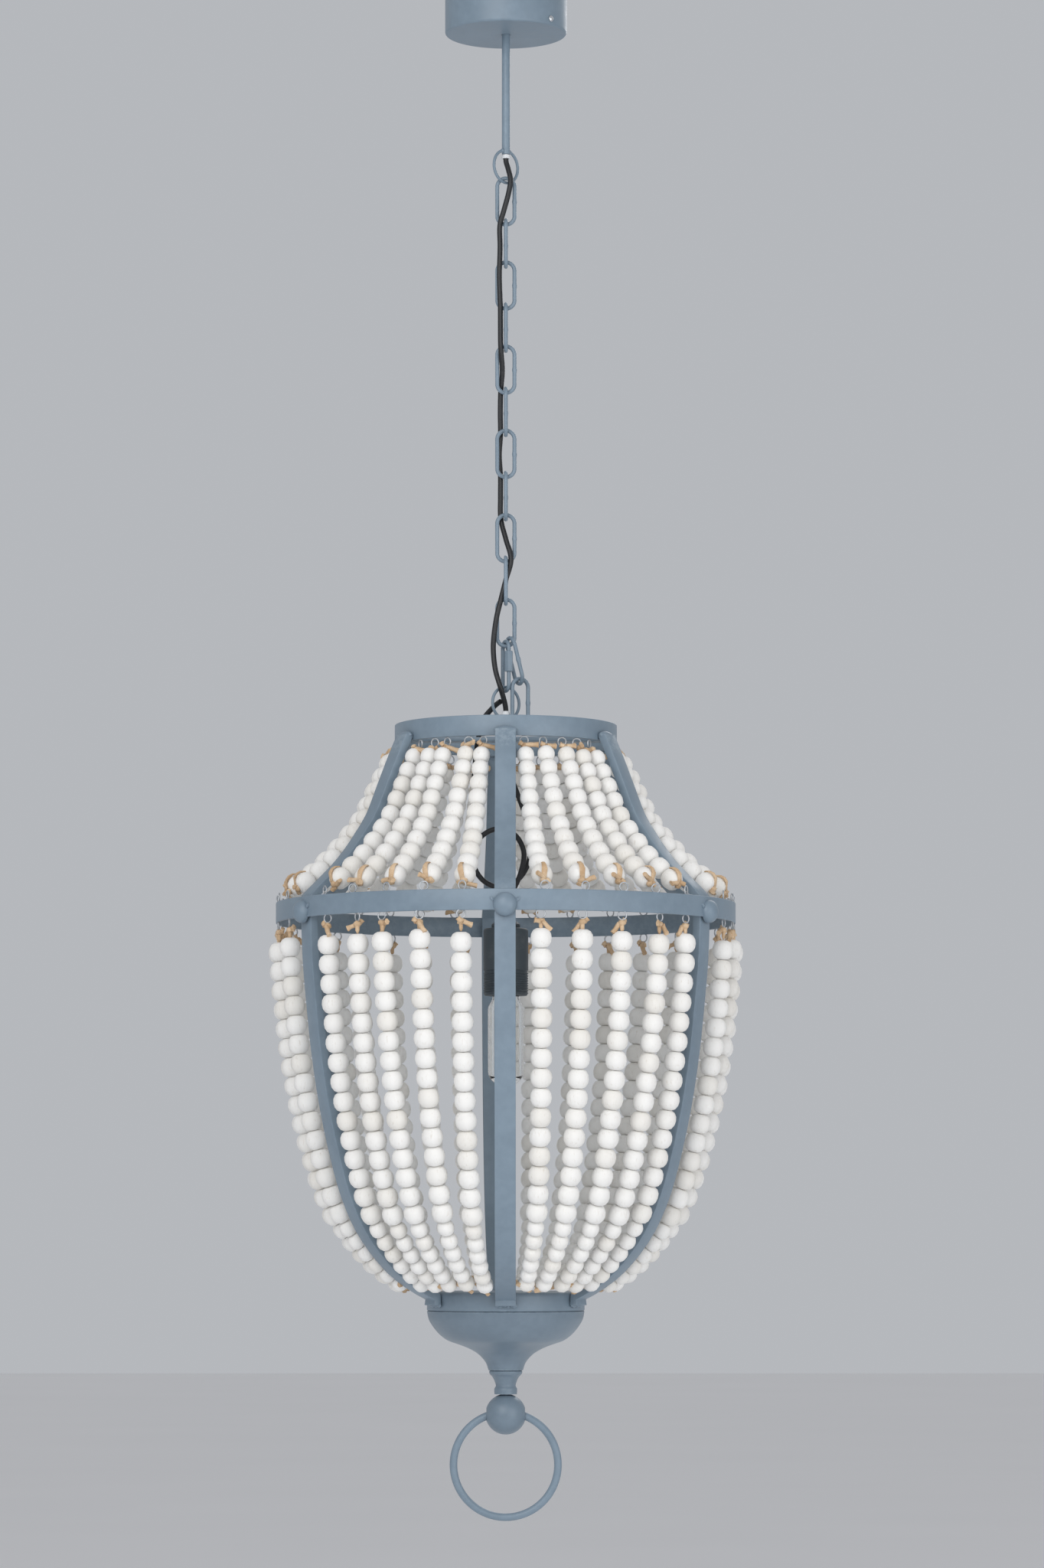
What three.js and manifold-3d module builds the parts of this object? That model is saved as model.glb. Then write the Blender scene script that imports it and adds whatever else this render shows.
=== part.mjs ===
import * as THREE from 'three';
import { mergeVertices } from 'three/addons/utils/BufferGeometryUtils.js';
import Module from 'manifold-3d';

// A beaded chandelier that hangs from a ceiling on a chain.
// Millimetres, +Z up. The origin is on the ceiling, above the middle of the canopy.
// The front rib of the basket faces -Y. Azimuths turn from the front towards +X.

// Fits
const SEAT_GAP = 0.3;
const LOOP_GAP = 0.9;
const OVERRUN = 2;

// Ceiling bracket and canopy
const CANOPY_DIAMETER = 120;
const CANOPY_HEIGHT = 50;
const CANOPY_WALL = 1.6;
const CANOPY_EDGE_RADIUS = 2.5;
const BRACKET_WIDTH = 24;
const BRACKET_THICKNESS = 3;
const BRACKET_SLOT_LENGTH = 16;
const BRACKET_SLOT_WIDTH = 5;
const BRACKET_AZIMUTH = 47;
const SIDE_SCREW_DIAMETER = 3;
const SIDE_SCREW_HEAD_DIAMETER = 6;
const SIDE_SCREW_HEAD_HEIGHT = 2;
const SIDE_SCREW_LENGTH = 9;
const SIDE_SCREW_ABOVE_CANOPY_BOTTOM = 6.2;

// Stem and the wire loop welded to its end
const STEM_DIAMETER = 8;
const STEM_BORE = 6;
const STEM_TOP_ABOVE_CANOPY_FLOOR = 9;
const STEM_BELOW_CANOPY = 119;
const NUT_ACROSS_FLATS = 13;
const NUT_HEIGHT = 5;
const BUSHING_DIAMETER = 8.4;
const BUSHING_HEIGHT = 4;
const LOOP_DIAMETER = 35;
const LOOP_WIRE = 3;
const LOOP_OVER_TUBE_END = 5.3;
const STEM_LOOP_TURN = 43.5;

// Chain
const CHAIN_WIRE = 4;
const LINK_LENGTH = 50;
const LINK_WIDTH = 21;
const LOADED_LINK_COUNT = 11;
const SPARE_LINK_TILT = 13.5;
const SPARE_LINK_SEAT_ANGLE = 80;
const SPARE_LINK_TURN = 25;
const QUICK_LINK_WIRE = 4;
const QUICK_LINK_LENGTH = 52.7;
const QUICK_LINK_WIDTH = 18;
const QUICK_LINK_MOUTH = 6.8;
const QUICK_LINK_MOUTH_BELOW_TOP = 11.3;
const QUICK_LINK_TURN = -65;
const SLEEVE_LENGTH = 20;
const SLEEVE_OVER_MOUTH = 1.1;
const SLEEVE_ACROSS_FLATS = 7.5;

// Cable
const CABLE_DIAMETER = 5.2;
const CABLE_STEP = 15;
const END_CAP_DIAMETER = 8.6;
const END_CAP_LENGTH = 14;

// Frame of the basket
const BAND_HEIGHT = 20;
const BAND_THICKNESS = 3;
const TOP_RING_DIAMETER = 218;
const MIDDLE_RING_DIAMETER = 450;
const FRAME_LOOP_TURN = 36;
const FRAME_TUBE_ABOVE_RING = 10;
const FRAME_TUBE_LENGTH = 32;
const CROSS_BAR_THICKNESS = 4;
const CROSS_BAR_BELOW_RING_TOP = 12;
const RING_SPACING = 155;
const BASKET_DEPTH = 359;
const RIB_COUNT = 6;
const RIB_WIDTH = 20;
const RIB_THICKNESS = 8;
const RIB_LAP_ON_TOP_RING = 6;
const RIB_LAP_ON_CUP = 8;
const RIB_DROP_TO_CUP_WALL = 5;
const BACK_RIB_SHIFT = 4;
const DOME_DIAMETER = 22.5;
const DOME_HEIGHT = 8.5;
const DOME_BELOW_BAND_MIDDLE = 4.5;

// The domes' outline, as shares of their radius and of their height
const DOME_SHARES = [[0.92, 0.4], [0.62, 0.8], [0, 1]];

// The bell of the upper ribs and the bowl of the lower ones, as shares of the way out and the way down
const BELL_SHARES = [
  [0, 0], [0.09, 0.13], [0.2, 0.3], [0.33, 0.5], [0.43, 0.6], [0.54, 0.7], [0.67, 0.8], [0.83, 0.9], [1, 1],
];
const BASKET_SHARES = [
  [0, 0], [0.01, 0.1], [0.04, 0.22], [0.085, 0.36], [0.15, 0.5], [0.235, 0.63],
  [0.32, 0.73], [0.43, 0.815], [0.56, 0.88], [0.7, 0.932], [0.85, 0.97], [1, 1],
];

// Strands of beads
const STRANDS_PER_PANEL = 5;
const BEAD_SIDES = 4;
const WAIST_SIDES = 3;
const STRAND_STEPS = 20;
const BEAD_HEIGHT_SHARE = 0.92;
const BEAD_FACE_SHARE = 0.5;
const UPPER_BEAD_COUNT = 10;
const UPPER_FIRST_BEAD = 16.5;
const LARGE_BEAD = 20.4;
const LOWER_LARGE_COUNT = 15;
const LOWER_SMALL_COUNT = 6;
const SMALL_BEAD = 16.4;
const BEAD_PRESS = 0.9;
const TIE_WIDTH = 3;
const UPPER_TOP_TIE_SHARE = 0.5;
const LOWER_TOP_TIE_SHARE = 0.42;

// Cup, finial and pull ring
const CUP_DIAMETER = 154;
const CUP_LID_HEIGHT = 18.5;
const CUP_LID_WALL = 3;
const BOWL_HEIGHT = 58;
const COLLAR_DIAMETER = 32.5;
const COLLAR_HEIGHT = 23;
const BALL_DIAMETER = 39.7;
const BALL_TOP_FLAT_DIAMETER = 10;
const PULL_RING_DIAMETER = 110;
const PULL_RING_WIRE = 7.5;
const PULL_RING_HOLE_DIAMETER = 12.4;
const TIE_ROD_DIAMETER = 6;
const TIE_ROD_HEAD_HEIGHT = 4;
const TIE_ROD_HEAD_DIAMETER = 11;
const TIE_ROD_IN_BALL = 7.5;

// The turned outlines of the bowl and the collar, as shares of the radius and of the height
const BOWL_SHARES = [
  [1, 0], [0.974, 0.155], [0.875, 0.35], [0.797, 0.447], [0.728, 0.505],
  [0.562, 0.583], [0.458, 0.641], [0.34, 0.738], [0.25, 0.88], [0.219, 1],
];
const COLLAR_SHARES = [
  [1, 0], [0.98, 0.12], [0.8, 0.27], [0.66, 0.47], [0.6, 0.66], [0.68, 0.76], [0.68, 1],
];

// Lamp
const LAMP_DROP_BELOW_TUBE = 164;
const CABLE_IN_GRIP = 9;
const HOLDER_DIAMETER = 44;
const HOLDER_LENGTH = 66;
const HOLDER_FLOOR = 28;
const HOLDER_EDGE_RADIUS = 3;
const GRIP_TOP_DIAMETER = 16;
const GRIP_DIAMETER = 28;
const GRIP_HEIGHT = 12.8;
const BULB_DIAMETER = 35;
const BULB_LENGTH = 100;
const BULB_WALL = 1.2;
const BULB_NECK_DIAMETER = 25;
const BULB_BASE_DIAMETER = 27;
const BULB_BASE_LENGTH = 24;
const BULB_CONTACT_DIAMETER = 9;
const BULB_CONTACT_HEIGHT = 3;

// The outline of the bulb, as shares of its radius beyond the neck and of its length
const BULB_SHARES = [
  [0, 0], [0.1, 0.115], [1, 0.24], [1, 0.84], [0.7, 0.95],
];

// Facets round each kind of piece
const BIG_RING_STEPS = 40;
const SMALL_RING_STEPS = 28;
const BODY_STEPS = 16;
const TUBE_STEPS = 10;
const SCREW_STEPS = 6;
const WIRE_SIDES = 6;
const LOOP_STEPS = 12;
const LINK_ARC_STEPS = 4;
const CABLE_SIDES = 8;
const PULL_RING_STEPS = 30;
const PULL_RING_SIDES = 8;
const BALL_ROWS = 8;
const DOME_STEPS = 10;
const RIB_BELL_STEPS = 6;
const RIB_BASKET_STEPS = 9;

// Heights worked out from the sizes above
const canopyBottom = -CANOPY_HEIGHT;
const canopyFloor = canopyBottom + CANOPY_WALL;
const sideScrewHeight = canopyBottom + SIDE_SCREW_ABOVE_CANOPY_BOTTOM;
const stemBottom = canopyBottom - STEM_BELOW_CANOPY;
const loopRadius = (LOOP_DIAMETER - LOOP_WIRE) / 2;
const stemLoopCentre = stemBottom + LOOP_OVER_TUBE_END - LOOP_DIAMETER / 2;
const linkWireLength = LINK_LENGTH - CHAIN_WIRE;
const linkArcRadius = (LINK_WIDTH - CHAIN_WIRE) / 2;
const linkHalfStraight = linkWireLength / 2 - linkArcRadius;
const firstLinkTop = stemLoopCentre - loopRadius + LOOP_WIRE / 2 + CHAIN_WIRE / 2 + LOOP_GAP;
const linkPitch = linkWireLength - CHAIN_WIRE - SEAT_GAP;
const lastLinkTop = firstLinkTop - linkPitch * (LOADED_LINK_COUNT - 1);
const lastLinkBottom = lastLinkTop - linkWireLength;
const quickLinkWireLength = QUICK_LINK_LENGTH - QUICK_LINK_WIRE;
const quickLinkArcRadius = (QUICK_LINK_WIDTH - QUICK_LINK_WIRE) / 2;
const quickLinkTop = lastLinkBottom + (CHAIN_WIRE + QUICK_LINK_WIRE) / 2 + 2 * SEAT_GAP;
const quickLinkBottom = quickLinkTop - quickLinkWireLength;
const frameLoopTop = quickLinkBottom + (QUICK_LINK_WIRE + LOOP_WIRE) / 2 + SEAT_GAP;
const frameLoopCentre = frameLoopTop - loopRadius;
const frameTubeTop = frameLoopCentre - LOOP_DIAMETER / 2 + LOOP_OVER_TUBE_END;
const frameTubeBottom = frameTubeTop - FRAME_TUBE_LENGTH;
const topRingTop = frameTubeTop - FRAME_TUBE_ABOVE_RING;
const topRingBottom = topRingTop - BAND_HEIGHT;
const middleRingTop = topRingBottom - RING_SPACING;
const middleRingBottom = middleRingTop - BAND_HEIGHT;
const cupLidTop = middleRingBottom - BASKET_DEPTH;
const cupLidBottom = cupLidTop - CUP_LID_HEIGHT;
const bowlTop = cupLidBottom - SEAT_GAP;
const bowlBottom = bowlTop - BOWL_HEIGHT;
const collarTop = bowlBottom - SEAT_GAP;
const collarBottom = collarTop - COLLAR_HEIGHT;
const ballTop = collarBottom - SEAT_GAP;
const ballRadius = BALL_DIAMETER / 2;
const ballCentre = ballTop - Math.sqrt(ballRadius ** 2 - (BALL_TOP_FLAT_DIAMETER / 2) ** 2);
const gripTop = frameTubeBottom - LAMP_DROP_BELOW_TUBE;
const holderTop = gripTop - GRIP_HEIGHT - SEAT_GAP;
const holderBottom = holderTop - HOLDER_LENGTH;

const topRingRadius = TOP_RING_DIAMETER / 2;
const middleRingRadius = MIDDLE_RING_DIAMETER / 2;
const topBandMiddle = topRingRadius - BAND_THICKNESS / 2;
const middleBandMiddle = middleRingRadius - BAND_THICKNESS / 2;
const cupRadius = CUP_DIAMETER / 2;
const bulbBaseTop = holderTop - HOLDER_FLOOR - SEAT_GAP;
const bulbTop = bulbBaseTop - BULB_CONTACT_HEIGHT - BULB_BASE_LENGTH - SEAT_GAP;
const rodRadius = TIE_ROD_DIAMETER / 2;
const rodBore = rodRadius + SEAT_GAP;

// Shapes

const radians = THREE.MathUtils.degToRad;

// A unit vector in the plane of the ceiling, at an azimuth turned from the front towards +X
function outwards(azimuth) {
  return new THREE.Vector3(Math.sin(radians(azimuth)), -Math.cos(radians(azimuth)), 0);
}

// The geometry with its shared vertices merged and its faces turned outwards
function closed(geometry) {
  const bare = geometry.clone();
  bare.deleteAttribute('normal');
  bare.deleteAttribute('uv');
  const merged = mergeVertices(bare, 1e-3);
  const place = merged.getAttribute('position');
  const index = [];
  const corners = [new THREE.Vector3(), new THREE.Vector3(), new THREE.Vector3()];
  let volume = 0;
  for (let i = 0; i < merged.index.count; i += 3) {
    const face = [0, 1, 2].map((n) => merged.index.getX(i + n));
    if (face[0] === face[1] || face[1] === face[2] || face[2] === face[0]) {
      continue;
    }
    face.forEach((n, k) => corners[k].fromBufferAttribute(place, n));
    volume += corners[0].dot(corners[1].clone().cross(corners[2]));
    index.push(...face);
  }
  merged.setIndex(volume < 0 ? index.reverse() : index);
  return merged;
}

// A body of revolution about Z from an outline of [radius, height] points
function revolve(outline, steps, ring = false) {
  const points = outline.map(([r, z]) => new THREE.Vector2(Math.max(r, 0), z));
  if (ring) {
    points.push(points[0].clone());
  }
  return closed(new THREE.LatheGeometry(points, steps).rotateX(Math.PI / 2));
}

// A straight hollow tube along Z
function hollowTube(outer, inner, bottom, top, steps = TUBE_STEPS) {
  return revolve([[inner, bottom], [outer, bottom], [outer, top], [inner, top]], steps, true);
}

// Points round a centre, square to a run, the first one towards the side
function sectionRing(centre, side, run, radius, count) {
  const other = run.clone().cross(side);
  const ring = [];
  for (let k = 0; k < count; k += 1) {
    const angle = (2 * Math.PI * k) / count;
    ring.push(centre.clone()
      .addScaledVector(side, radius * Math.cos(angle))
      .addScaledVector(other, radius * Math.sin(angle)));
  }
  return ring;
}

// A solid from rings of points, one joined to the next, and closed at its ends or on itself
function skin(rings, round = false) {
  const position = rings.flat().flatMap((p) => [p.x, p.y, p.z]);
  const starts = [0];
  rings.forEach((ring, i) => starts.push(starts[i] + ring.length));
  const index = [];
  const joins = round ? rings.length : rings.length - 1;
  for (let i = 0; i < joins; i += 1) {
    const next = (i + 1) % rings.length;
    const here = rings[i].length;
    const there = rings[next].length;
    let a = 0;
    let b = 0;
    while (a < here || b < there) {
      const stepHere = b >= there || (a < here && (a + 1) / here <= (b + 1) / there);
      if (stepHere && here > 1) {
        index.push(starts[i] + (a % here), starts[i] + ((a + 1) % here), starts[next] + (b % there));
      }
      if (!stepHere && there > 1) {
        index.push(starts[i] + (a % here), starts[next] + ((b + 1) % there), starts[next] + (b % there));
      }
      a += stepHere ? 1 : 0;
      b += stepHere ? 0 : 1;
    }
  }
  if (!round) {
    const last = rings.length - 1;
    for (let k = 1; k + 1 < rings[0].length; k += 1) {
      index.push(starts[0], starts[0] + k + 1, starts[0] + k);
    }
    for (let k = 1; k + 1 < rings[last].length; k += 1) {
      index.push(starts[last], starts[last] + k, starts[last] + k + 1);
    }
  }
  const geometry = new THREE.BufferGeometry();
  geometry.setAttribute('position', new THREE.Float32BufferAttribute(position, 3));
  geometry.setIndex(index);
  return closed(geometry);
}

// A round wire bent in the XZ plane along [x, z] points, with a corner of its section on the inner side
function bentWire(points, wire, round) {
  const count = points.length;
  const rings = points.map(([x, z], i) => {
    const before = points[round ? (i + count - 1) % count : Math.max(i - 1, 0)];
    const after = points[round ? (i + 1) % count : Math.min(i + 1, count - 1)];
    const run = new THREE.Vector2(after[0] - before[0], after[1] - before[1]).normalize();
    const ring = [];
    for (let k = 0; k < WIRE_SIDES; k += 1) {
      const turn = (2 * Math.PI * k) / WIRE_SIDES;
      const across = Math.cos(turn) * wire / 2;
      const aside = Math.sin(turn) * wire / 2;
      ring.push(new THREE.Vector3(x - run.y * across, aside, z + run.x * across));
    }
    return ring;
  });
  return skin(rings, round);
}

// The [x, z] points of an oval with straight sides, turning from the middle of its +X side over the top
function ovalPoints(arcRadius, halfStraight) {
  const points = [];
  for (let half = 0; half < 2; half += 1) {
    for (let i = 0; i <= LINK_ARC_STEPS; i += 1) {
      const turn = Math.PI * (half + i / LINK_ARC_STEPS);
      points.push([Math.cos(turn) * arcRadius, Math.sin(turn) * arcRadius + (half ? -1 : 1) * halfStraight]);
    }
  }
  return points;
}

// A wire ring that is open where its ends meet the sides of a tube
function openLoop() {
  const start = Math.asin((STEM_DIAMETER / 2 + SEAT_GAP) / (loopRadius - LOOP_WIRE / 2));
  const points = [];
  for (let i = 0; i <= LOOP_STEPS; i += 1) {
    const turn = start + ((2 * Math.PI - 2 * start) * i) / LOOP_STEPS;
    points.push([Math.sin(turn) * loopRadius, Math.cos(turn) * loopRadius]);
  }
  return bentWire(points, LOOP_WIRE, false);
}

// A flat bar standing on an outline of [x, y] points, extruded along Z
function extrude(outline, depth) {
  const shape = new THREE.Shape(outline.map(([x, y]) => new THREE.Vector2(x, y)));
  return closed(new THREE.ExtrudeGeometry(shape, { depth, bevelEnabled: false, steps: 1 }));
}

function box(width, depth, height) {
  return closed(new THREE.BoxGeometry(width, depth, height));
}

function rod(diameter, length, steps = TUBE_STEPS) {
  return closed(new THREE.CylinderGeometry(diameter / 2, diameter / 2, length, steps).rotateX(Math.PI / 2));
}

// Joining and cutting

const wasm = await Module();
wasm.setup();

function toSolid(geometry) {
  return new wasm.Manifold(new wasm.Mesh({
    numProp: 3,
    vertProperties: new Float32Array(geometry.getAttribute('position').array),
    triVerts: new Uint32Array(geometry.index.array),
  }));
}

function toGeometry(solid) {
  const mesh = solid.getMesh();
  const geometry = new THREE.BufferGeometry();
  geometry.setAttribute('position', new THREE.Float32BufferAttribute(mesh.vertProperties, 3));
  geometry.setIndex([...mesh.triVerts]);
  return geometry;
}

function join(...geometries) {
  return toGeometry(geometries.map(toSolid).reduce((sum, solid) => sum.add(solid)));
}

function cut(geometry, ...tools) {
  return toGeometry(tools.map(toSolid).reduce((sum, tool) => sum.subtract(tool), toSolid(geometry)));
}

// Finishes

const FINISHES = {
  paint: { color: 0x8298a8, roughness: 0.45, metalness: 0.15 },
  paintedWood: { color: 0x7f95a4, roughness: 0.5, metalness: 0 },
  bead: { color: 0xf2f0ea, roughness: 0.75, metalness: 0 },
  cable: { color: 0x16171a, roughness: 0.5, metalness: 0 },
  whitePlastic: { color: 0xe6e8ea, roughness: 0.45, metalness: 0 },
  darkPlastic: { color: 0x3a4246, roughness: 0.5, metalness: 0 },
  steel: { color: 0xb4b8ba, roughness: 0.35, metalness: 0.9 },
  glass: { color: 0xd8dfe4, roughness: 0.05, metalness: 0 },
};

const chandelier = new THREE.Group();

function piece(name, geometry, finish, parent = chandelier) {
  const mesh = new THREE.Mesh(geometry, new THREE.MeshStandardMaterial(FINISHES[finish]));
  mesh.name = name;
  parent.add(mesh);
  return mesh;
}

function twoDigits(number) {
  return String(number).padStart(2, '0');
}

// Ceiling bracket: a strap under the ceiling with an ear bent down at each end, and the two screws
// that go through the canopy's wall into the ears
function addBracket() {
  const turned = new THREE.Group();
  turned.rotation.z = radians(BRACKET_AZIMUTH - 90);
  chandelier.add(turned);
  const reach = (CANOPY_DIAMETER / 2 - CANOPY_WALL) * Math.cos(Math.PI / SMALL_RING_STEPS) - SEAT_GAP;
  const earBottom = canopyFloor + SEAT_GAP;
  const thick = BRACKET_THICKNESS;
  const outline = [
    [-reach, earBottom], [-reach, 0], [reach, 0], [reach, earBottom],
    [reach - thick, earBottom], [reach - thick, -thick],
    [-reach + thick, -thick], [-reach + thick, earBottom],
  ];
  const strap = extrude(outline, BRACKET_WIDTH).rotateX(Math.PI / 2).translate(0, BRACKET_WIDTH / 2, 0);
  // The corners of the ears stay inside the round wall of the canopy
  const bound = revolve([
    [0, earBottom - OVERRUN], [reach, earBottom - OVERRUN], [reach, OVERRUN], [0, OVERRUN],
  ], 2 * BODY_STEPS);
  const slot = box(BRACKET_SLOT_LENGTH, BRACKET_SLOT_WIDTH, thick + 2 * OVERRUN);
  const slotPlace = reach - thick - BRACKET_SLOT_LENGTH;
  const tools = [-slotPlace, slotPlace].map((x) => slot.clone().translate(x, 0, -thick / 2));
  tools.push(rod(SIDE_SCREW_DIAMETER + 2 * SEAT_GAP, CANOPY_DIAMETER).rotateY(Math.PI / 2)
    .translate(0, 0, sideScrewHeight));
  const trimmed = toGeometry(toSolid(strap).intersect(toSolid(bound)));
  piece('ceiling_bracket', cut(trimmed, ...tools), 'steel', turned);

  const head = SIDE_SCREW_HEAD_DIAMETER / 2;
  const shank = SIDE_SCREW_DIAMETER / 2;
  const screw = revolve([
    [0, -SIDE_SCREW_LENGTH], [shank, -SIDE_SCREW_LENGTH], [shank, 0], [head, 0],
    [head, SIDE_SCREW_HEAD_HEIGHT / 2], [head / 2, SIDE_SCREW_HEAD_HEIGHT], [0, SIDE_SCREW_HEAD_HEIGHT],
  ], SCREW_STEPS).rotateY(Math.PI / 2);
  for (const [name, side] of [['canopy_screw_right', 1], ['canopy_screw_left', -1]]) {
    const mesh = piece(name, screw.clone(), 'paint', turned);
    mesh.position.set(side * (CANOPY_DIAMETER / 2 + SEAT_GAP), 0, sideScrewHeight);
    mesh.rotation.z = side > 0 ? 0 : Math.PI;
  }
}

// Canopy: a round cup, open towards the ceiling, with the stem through its floor
function addCanopy() {
  const radius = CANOPY_DIAMETER / 2;
  const inner = radius - CANOPY_WALL;
  const hole = STEM_DIAMETER / 2 + SEAT_GAP;
  const edge = CANOPY_EDGE_RADIUS;
  const cup = revolve([
    [hole, canopyBottom], [radius - edge, canopyBottom], [radius, canopyBottom + edge],
    [radius, 0], [inner, 0], [inner, canopyFloor], [hole, canopyFloor],
  ], SMALL_RING_STEPS, true);
  const holes = rod(SIDE_SCREW_DIAMETER + 2 * SEAT_GAP, CANOPY_DIAMETER + 2 * OVERRUN)
    .rotateY(Math.PI / 2).rotateZ(radians(BRACKET_AZIMUTH - 90)).translate(0, 0, sideScrewHeight);
  piece('ceiling_canopy', cut(cup, holes), 'paint');
}

function hexNut(acrossFlats, bore, height) {
  const outer = acrossFlats / 2 / Math.cos(Math.PI / 6);
  const body = closed(new THREE.CylinderGeometry(outer, outer, height, 6).rotateX(Math.PI / 2));
  return cut(body, rod(bore, height + 2 * OVERRUN));
}

// The tube below the canopy, its lock nut, and the bushing and the wire loop at its lower end
function addStem() {
  const top = canopyFloor + STEM_TOP_ABOVE_CANOPY_FLOOR;
  piece('stem_tube', hollowTube(STEM_DIAMETER / 2, STEM_BORE / 2, stemBottom, top), 'paint');
  piece('stem_lock_nut', hexNut(NUT_ACROSS_FLATS, STEM_DIAMETER + 2 * SEAT_GAP, NUT_HEIGHT), 'steel')
    .position.z = canopyFloor + SEAT_GAP + NUT_HEIGHT / 2;
  piece('stem_bushing', bushing(), 'whitePlastic').position.z = stemBottom - SEAT_GAP - BUSHING_HEIGHT / 2;
  const loop = piece('stem_loop', openLoop(), 'paint');
  loop.position.z = stemLoopCentre;
  loop.rotation.z = radians(STEM_LOOP_TURN);
}

function bushing() {
  return hollowTube(BUSHING_DIAMETER / 2, STEM_BORE / 2, -BUSHING_HEIGHT / 2, BUSHING_HEIGHT / 2);
}

// Chain: each link that carries the basket is turned a quarter from the one above it
function addChain() {
  const link = bentWire(ovalPoints(linkArcRadius, linkHalfStraight), CHAIN_WIRE, true);
  for (let i = 0; i < LOADED_LINK_COUNT; i += 1) {
    const mesh = piece(`chain_link_${twoDigits(i + 1)}`, link.clone(), 'paint');
    mesh.position.z = firstLinkTop - i * linkPitch - linkWireLength / 2;
    mesh.rotation.z = i % 2 ? Math.PI / 2 : 0;
  }
  // Two links left over hang beside the quick link, and the first of them leans out from it
  const facet = Math.cos(Math.PI / LINK_ARC_STEPS / 2);
  const seat = (linkArcRadius - CHAIN_WIRE / 2) * facet - CHAIN_WIRE / 2 - 2 * SEAT_GAP;
  const seatAngle = radians(SPARE_LINK_SEAT_ANGLE);
  const tilt = radians(SPARE_LINK_TILT);
  const top = new THREE.Vector3(
    seat * Math.sin(seatAngle),
    0,
    lastLinkBottom + linkArcRadius - seat * Math.cos(seatAngle),
  );
  const down = new THREE.Vector3(Math.sin(tilt), 0, -Math.cos(tilt));
  const leaning = piece(
    `chain_link_${twoDigits(LOADED_LINK_COUNT + 1)}`,
    link.clone().rotateZ(radians(QUICK_LINK_TURN)),
    'paint',
  );
  leaning.position.copy(top).addScaledVector(down, linkWireLength / 2);
  leaning.rotation.y = -tilt;
  const hanging = piece(`chain_link_${twoDigits(LOADED_LINK_COUNT + 2)}`, link.clone(), 'paint');
  hanging.position.copy(top).addScaledVector(down, linkWireLength);
  hanging.position.z += CHAIN_WIRE + 2 * SEAT_GAP - linkWireLength / 2;
  hanging.rotation.z = radians(SPARE_LINK_TURN);
}

// Quick link: an oval of wire with a mouth in one leg, which a hexagonal sleeve closes
function addQuickLink() {
  const halfStraight = quickLinkWireLength / 2 - quickLinkArcRadius;
  const mouthTop = quickLinkWireLength / 2 - QUICK_LINK_MOUTH_BELOW_TOP;
  const points = [
    [quickLinkArcRadius, mouthTop],
    ...ovalPoints(quickLinkArcRadius, halfStraight),
    [quickLinkArcRadius, mouthTop - QUICK_LINK_MOUTH],
  ];
  const turned = new THREE.Group();
  turned.position.z = (quickLinkTop + quickLinkBottom) / 2;
  turned.rotation.z = radians(QUICK_LINK_TURN);
  chandelier.add(turned);
  piece('quick_link', bentWire(points, QUICK_LINK_WIRE, false), 'paint', turned);
  const bore = QUICK_LINK_WIRE + 2 * SEAT_GAP;
  piece('quick_link_sleeve', hexNut(SLEEVE_ACROSS_FLATS, bore, SLEEVE_LENGTH), 'paint', turned)
    .position.set(quickLinkArcRadius, 0, mouthTop + SLEEVE_OVER_MOUTH - SLEEVE_LENGTH / 2);
}

// The cable comes down inside the stem and winds through the chain, turning round it as it goes
const CABLE_ROUTE = [
  [17.6, -16.3, -15.4], [10.9, -10.1, -17.2], [5.15, -4.8, -22.4], [1.35, -1.25, -30.2], [0, 0, -39.4],
  [0, 0, -48], [0, 0, -160], [0, 0, -171], [0.05, -0.05, -175.5], [2.4, -2.7, -184.5], [4.6, -5.3, -195],
  [3, -5.8, -207], [-2, -5.8, -226],
  [-5.8, -5.8, -240], [-5.7, -5.6, -262], [-6.4, -5.6, -292], [-5.4, -5.4, -322], [-5.3, -5.3, -341],
  [-5.1, -5.2, -360], [-3.5, 0, -383], [-5.1, 5.2, -404], [-5.5, 5.3, -424], [-5.3, 5.3, -446],
  [-6.5, 5.6, -466], [-5.3, 5.3, -487], [-5.3, 5.3, -508], [-5, 5.2, -529], [0, 0, -550],
  [5.1, -5.1, -571], [0, -3.4, -591], [-5.2, -5.3, -612], [-9, -6.5, -628], [-12, -6, -650],
  [-12.2, -5.5, -662], [-10.2, -6.9, -680], [-5.7, -10, -696], [-2.7, -6.7, -706], [-0.7, -1.8, -713.6],
  [0, -0.1, -719], [0, 0, -725], [0, 0, -757],
];

// Below the frame's tube the spare length of the cable is laid in a loop above the lamp
const LAMP_CABLE_ROUTE = [
  [0, 0, -757.3], [0, 0, -762], [2, 0, -775], [11, 3, -800], [20, 5, -825], [24, 6, -848],
  [22, 6.5, -869], [11.5, 6, -885.5], [-5.5, 4.5, -893], [-23, 1.5, -885.5], [-32.5, -2.5, -867],
  [-27.5, -6, -847.5], [-10, -8.5, -836.5], [8, -8.5, -841.5], [17.5, -7, -858], [15, -5, -878],
  [7, -2.5, -897], [1, -0.3, -911], [0, 0, -920], [0, 0, -930],
];

// A second cord leaves the cable in the frame's loop and goes down behind the top ring
const CORD_TAIL_ROUTE = [
  [-5.2, -1.6, -710.5], [-9.5, 3.6, -713], [-15, 8, -718], [-21.5, 11, -726], [-27, 15, -745],
  [-30, 18, -768], [-31, 19, -785], [-31, 19, -805],
];

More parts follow.
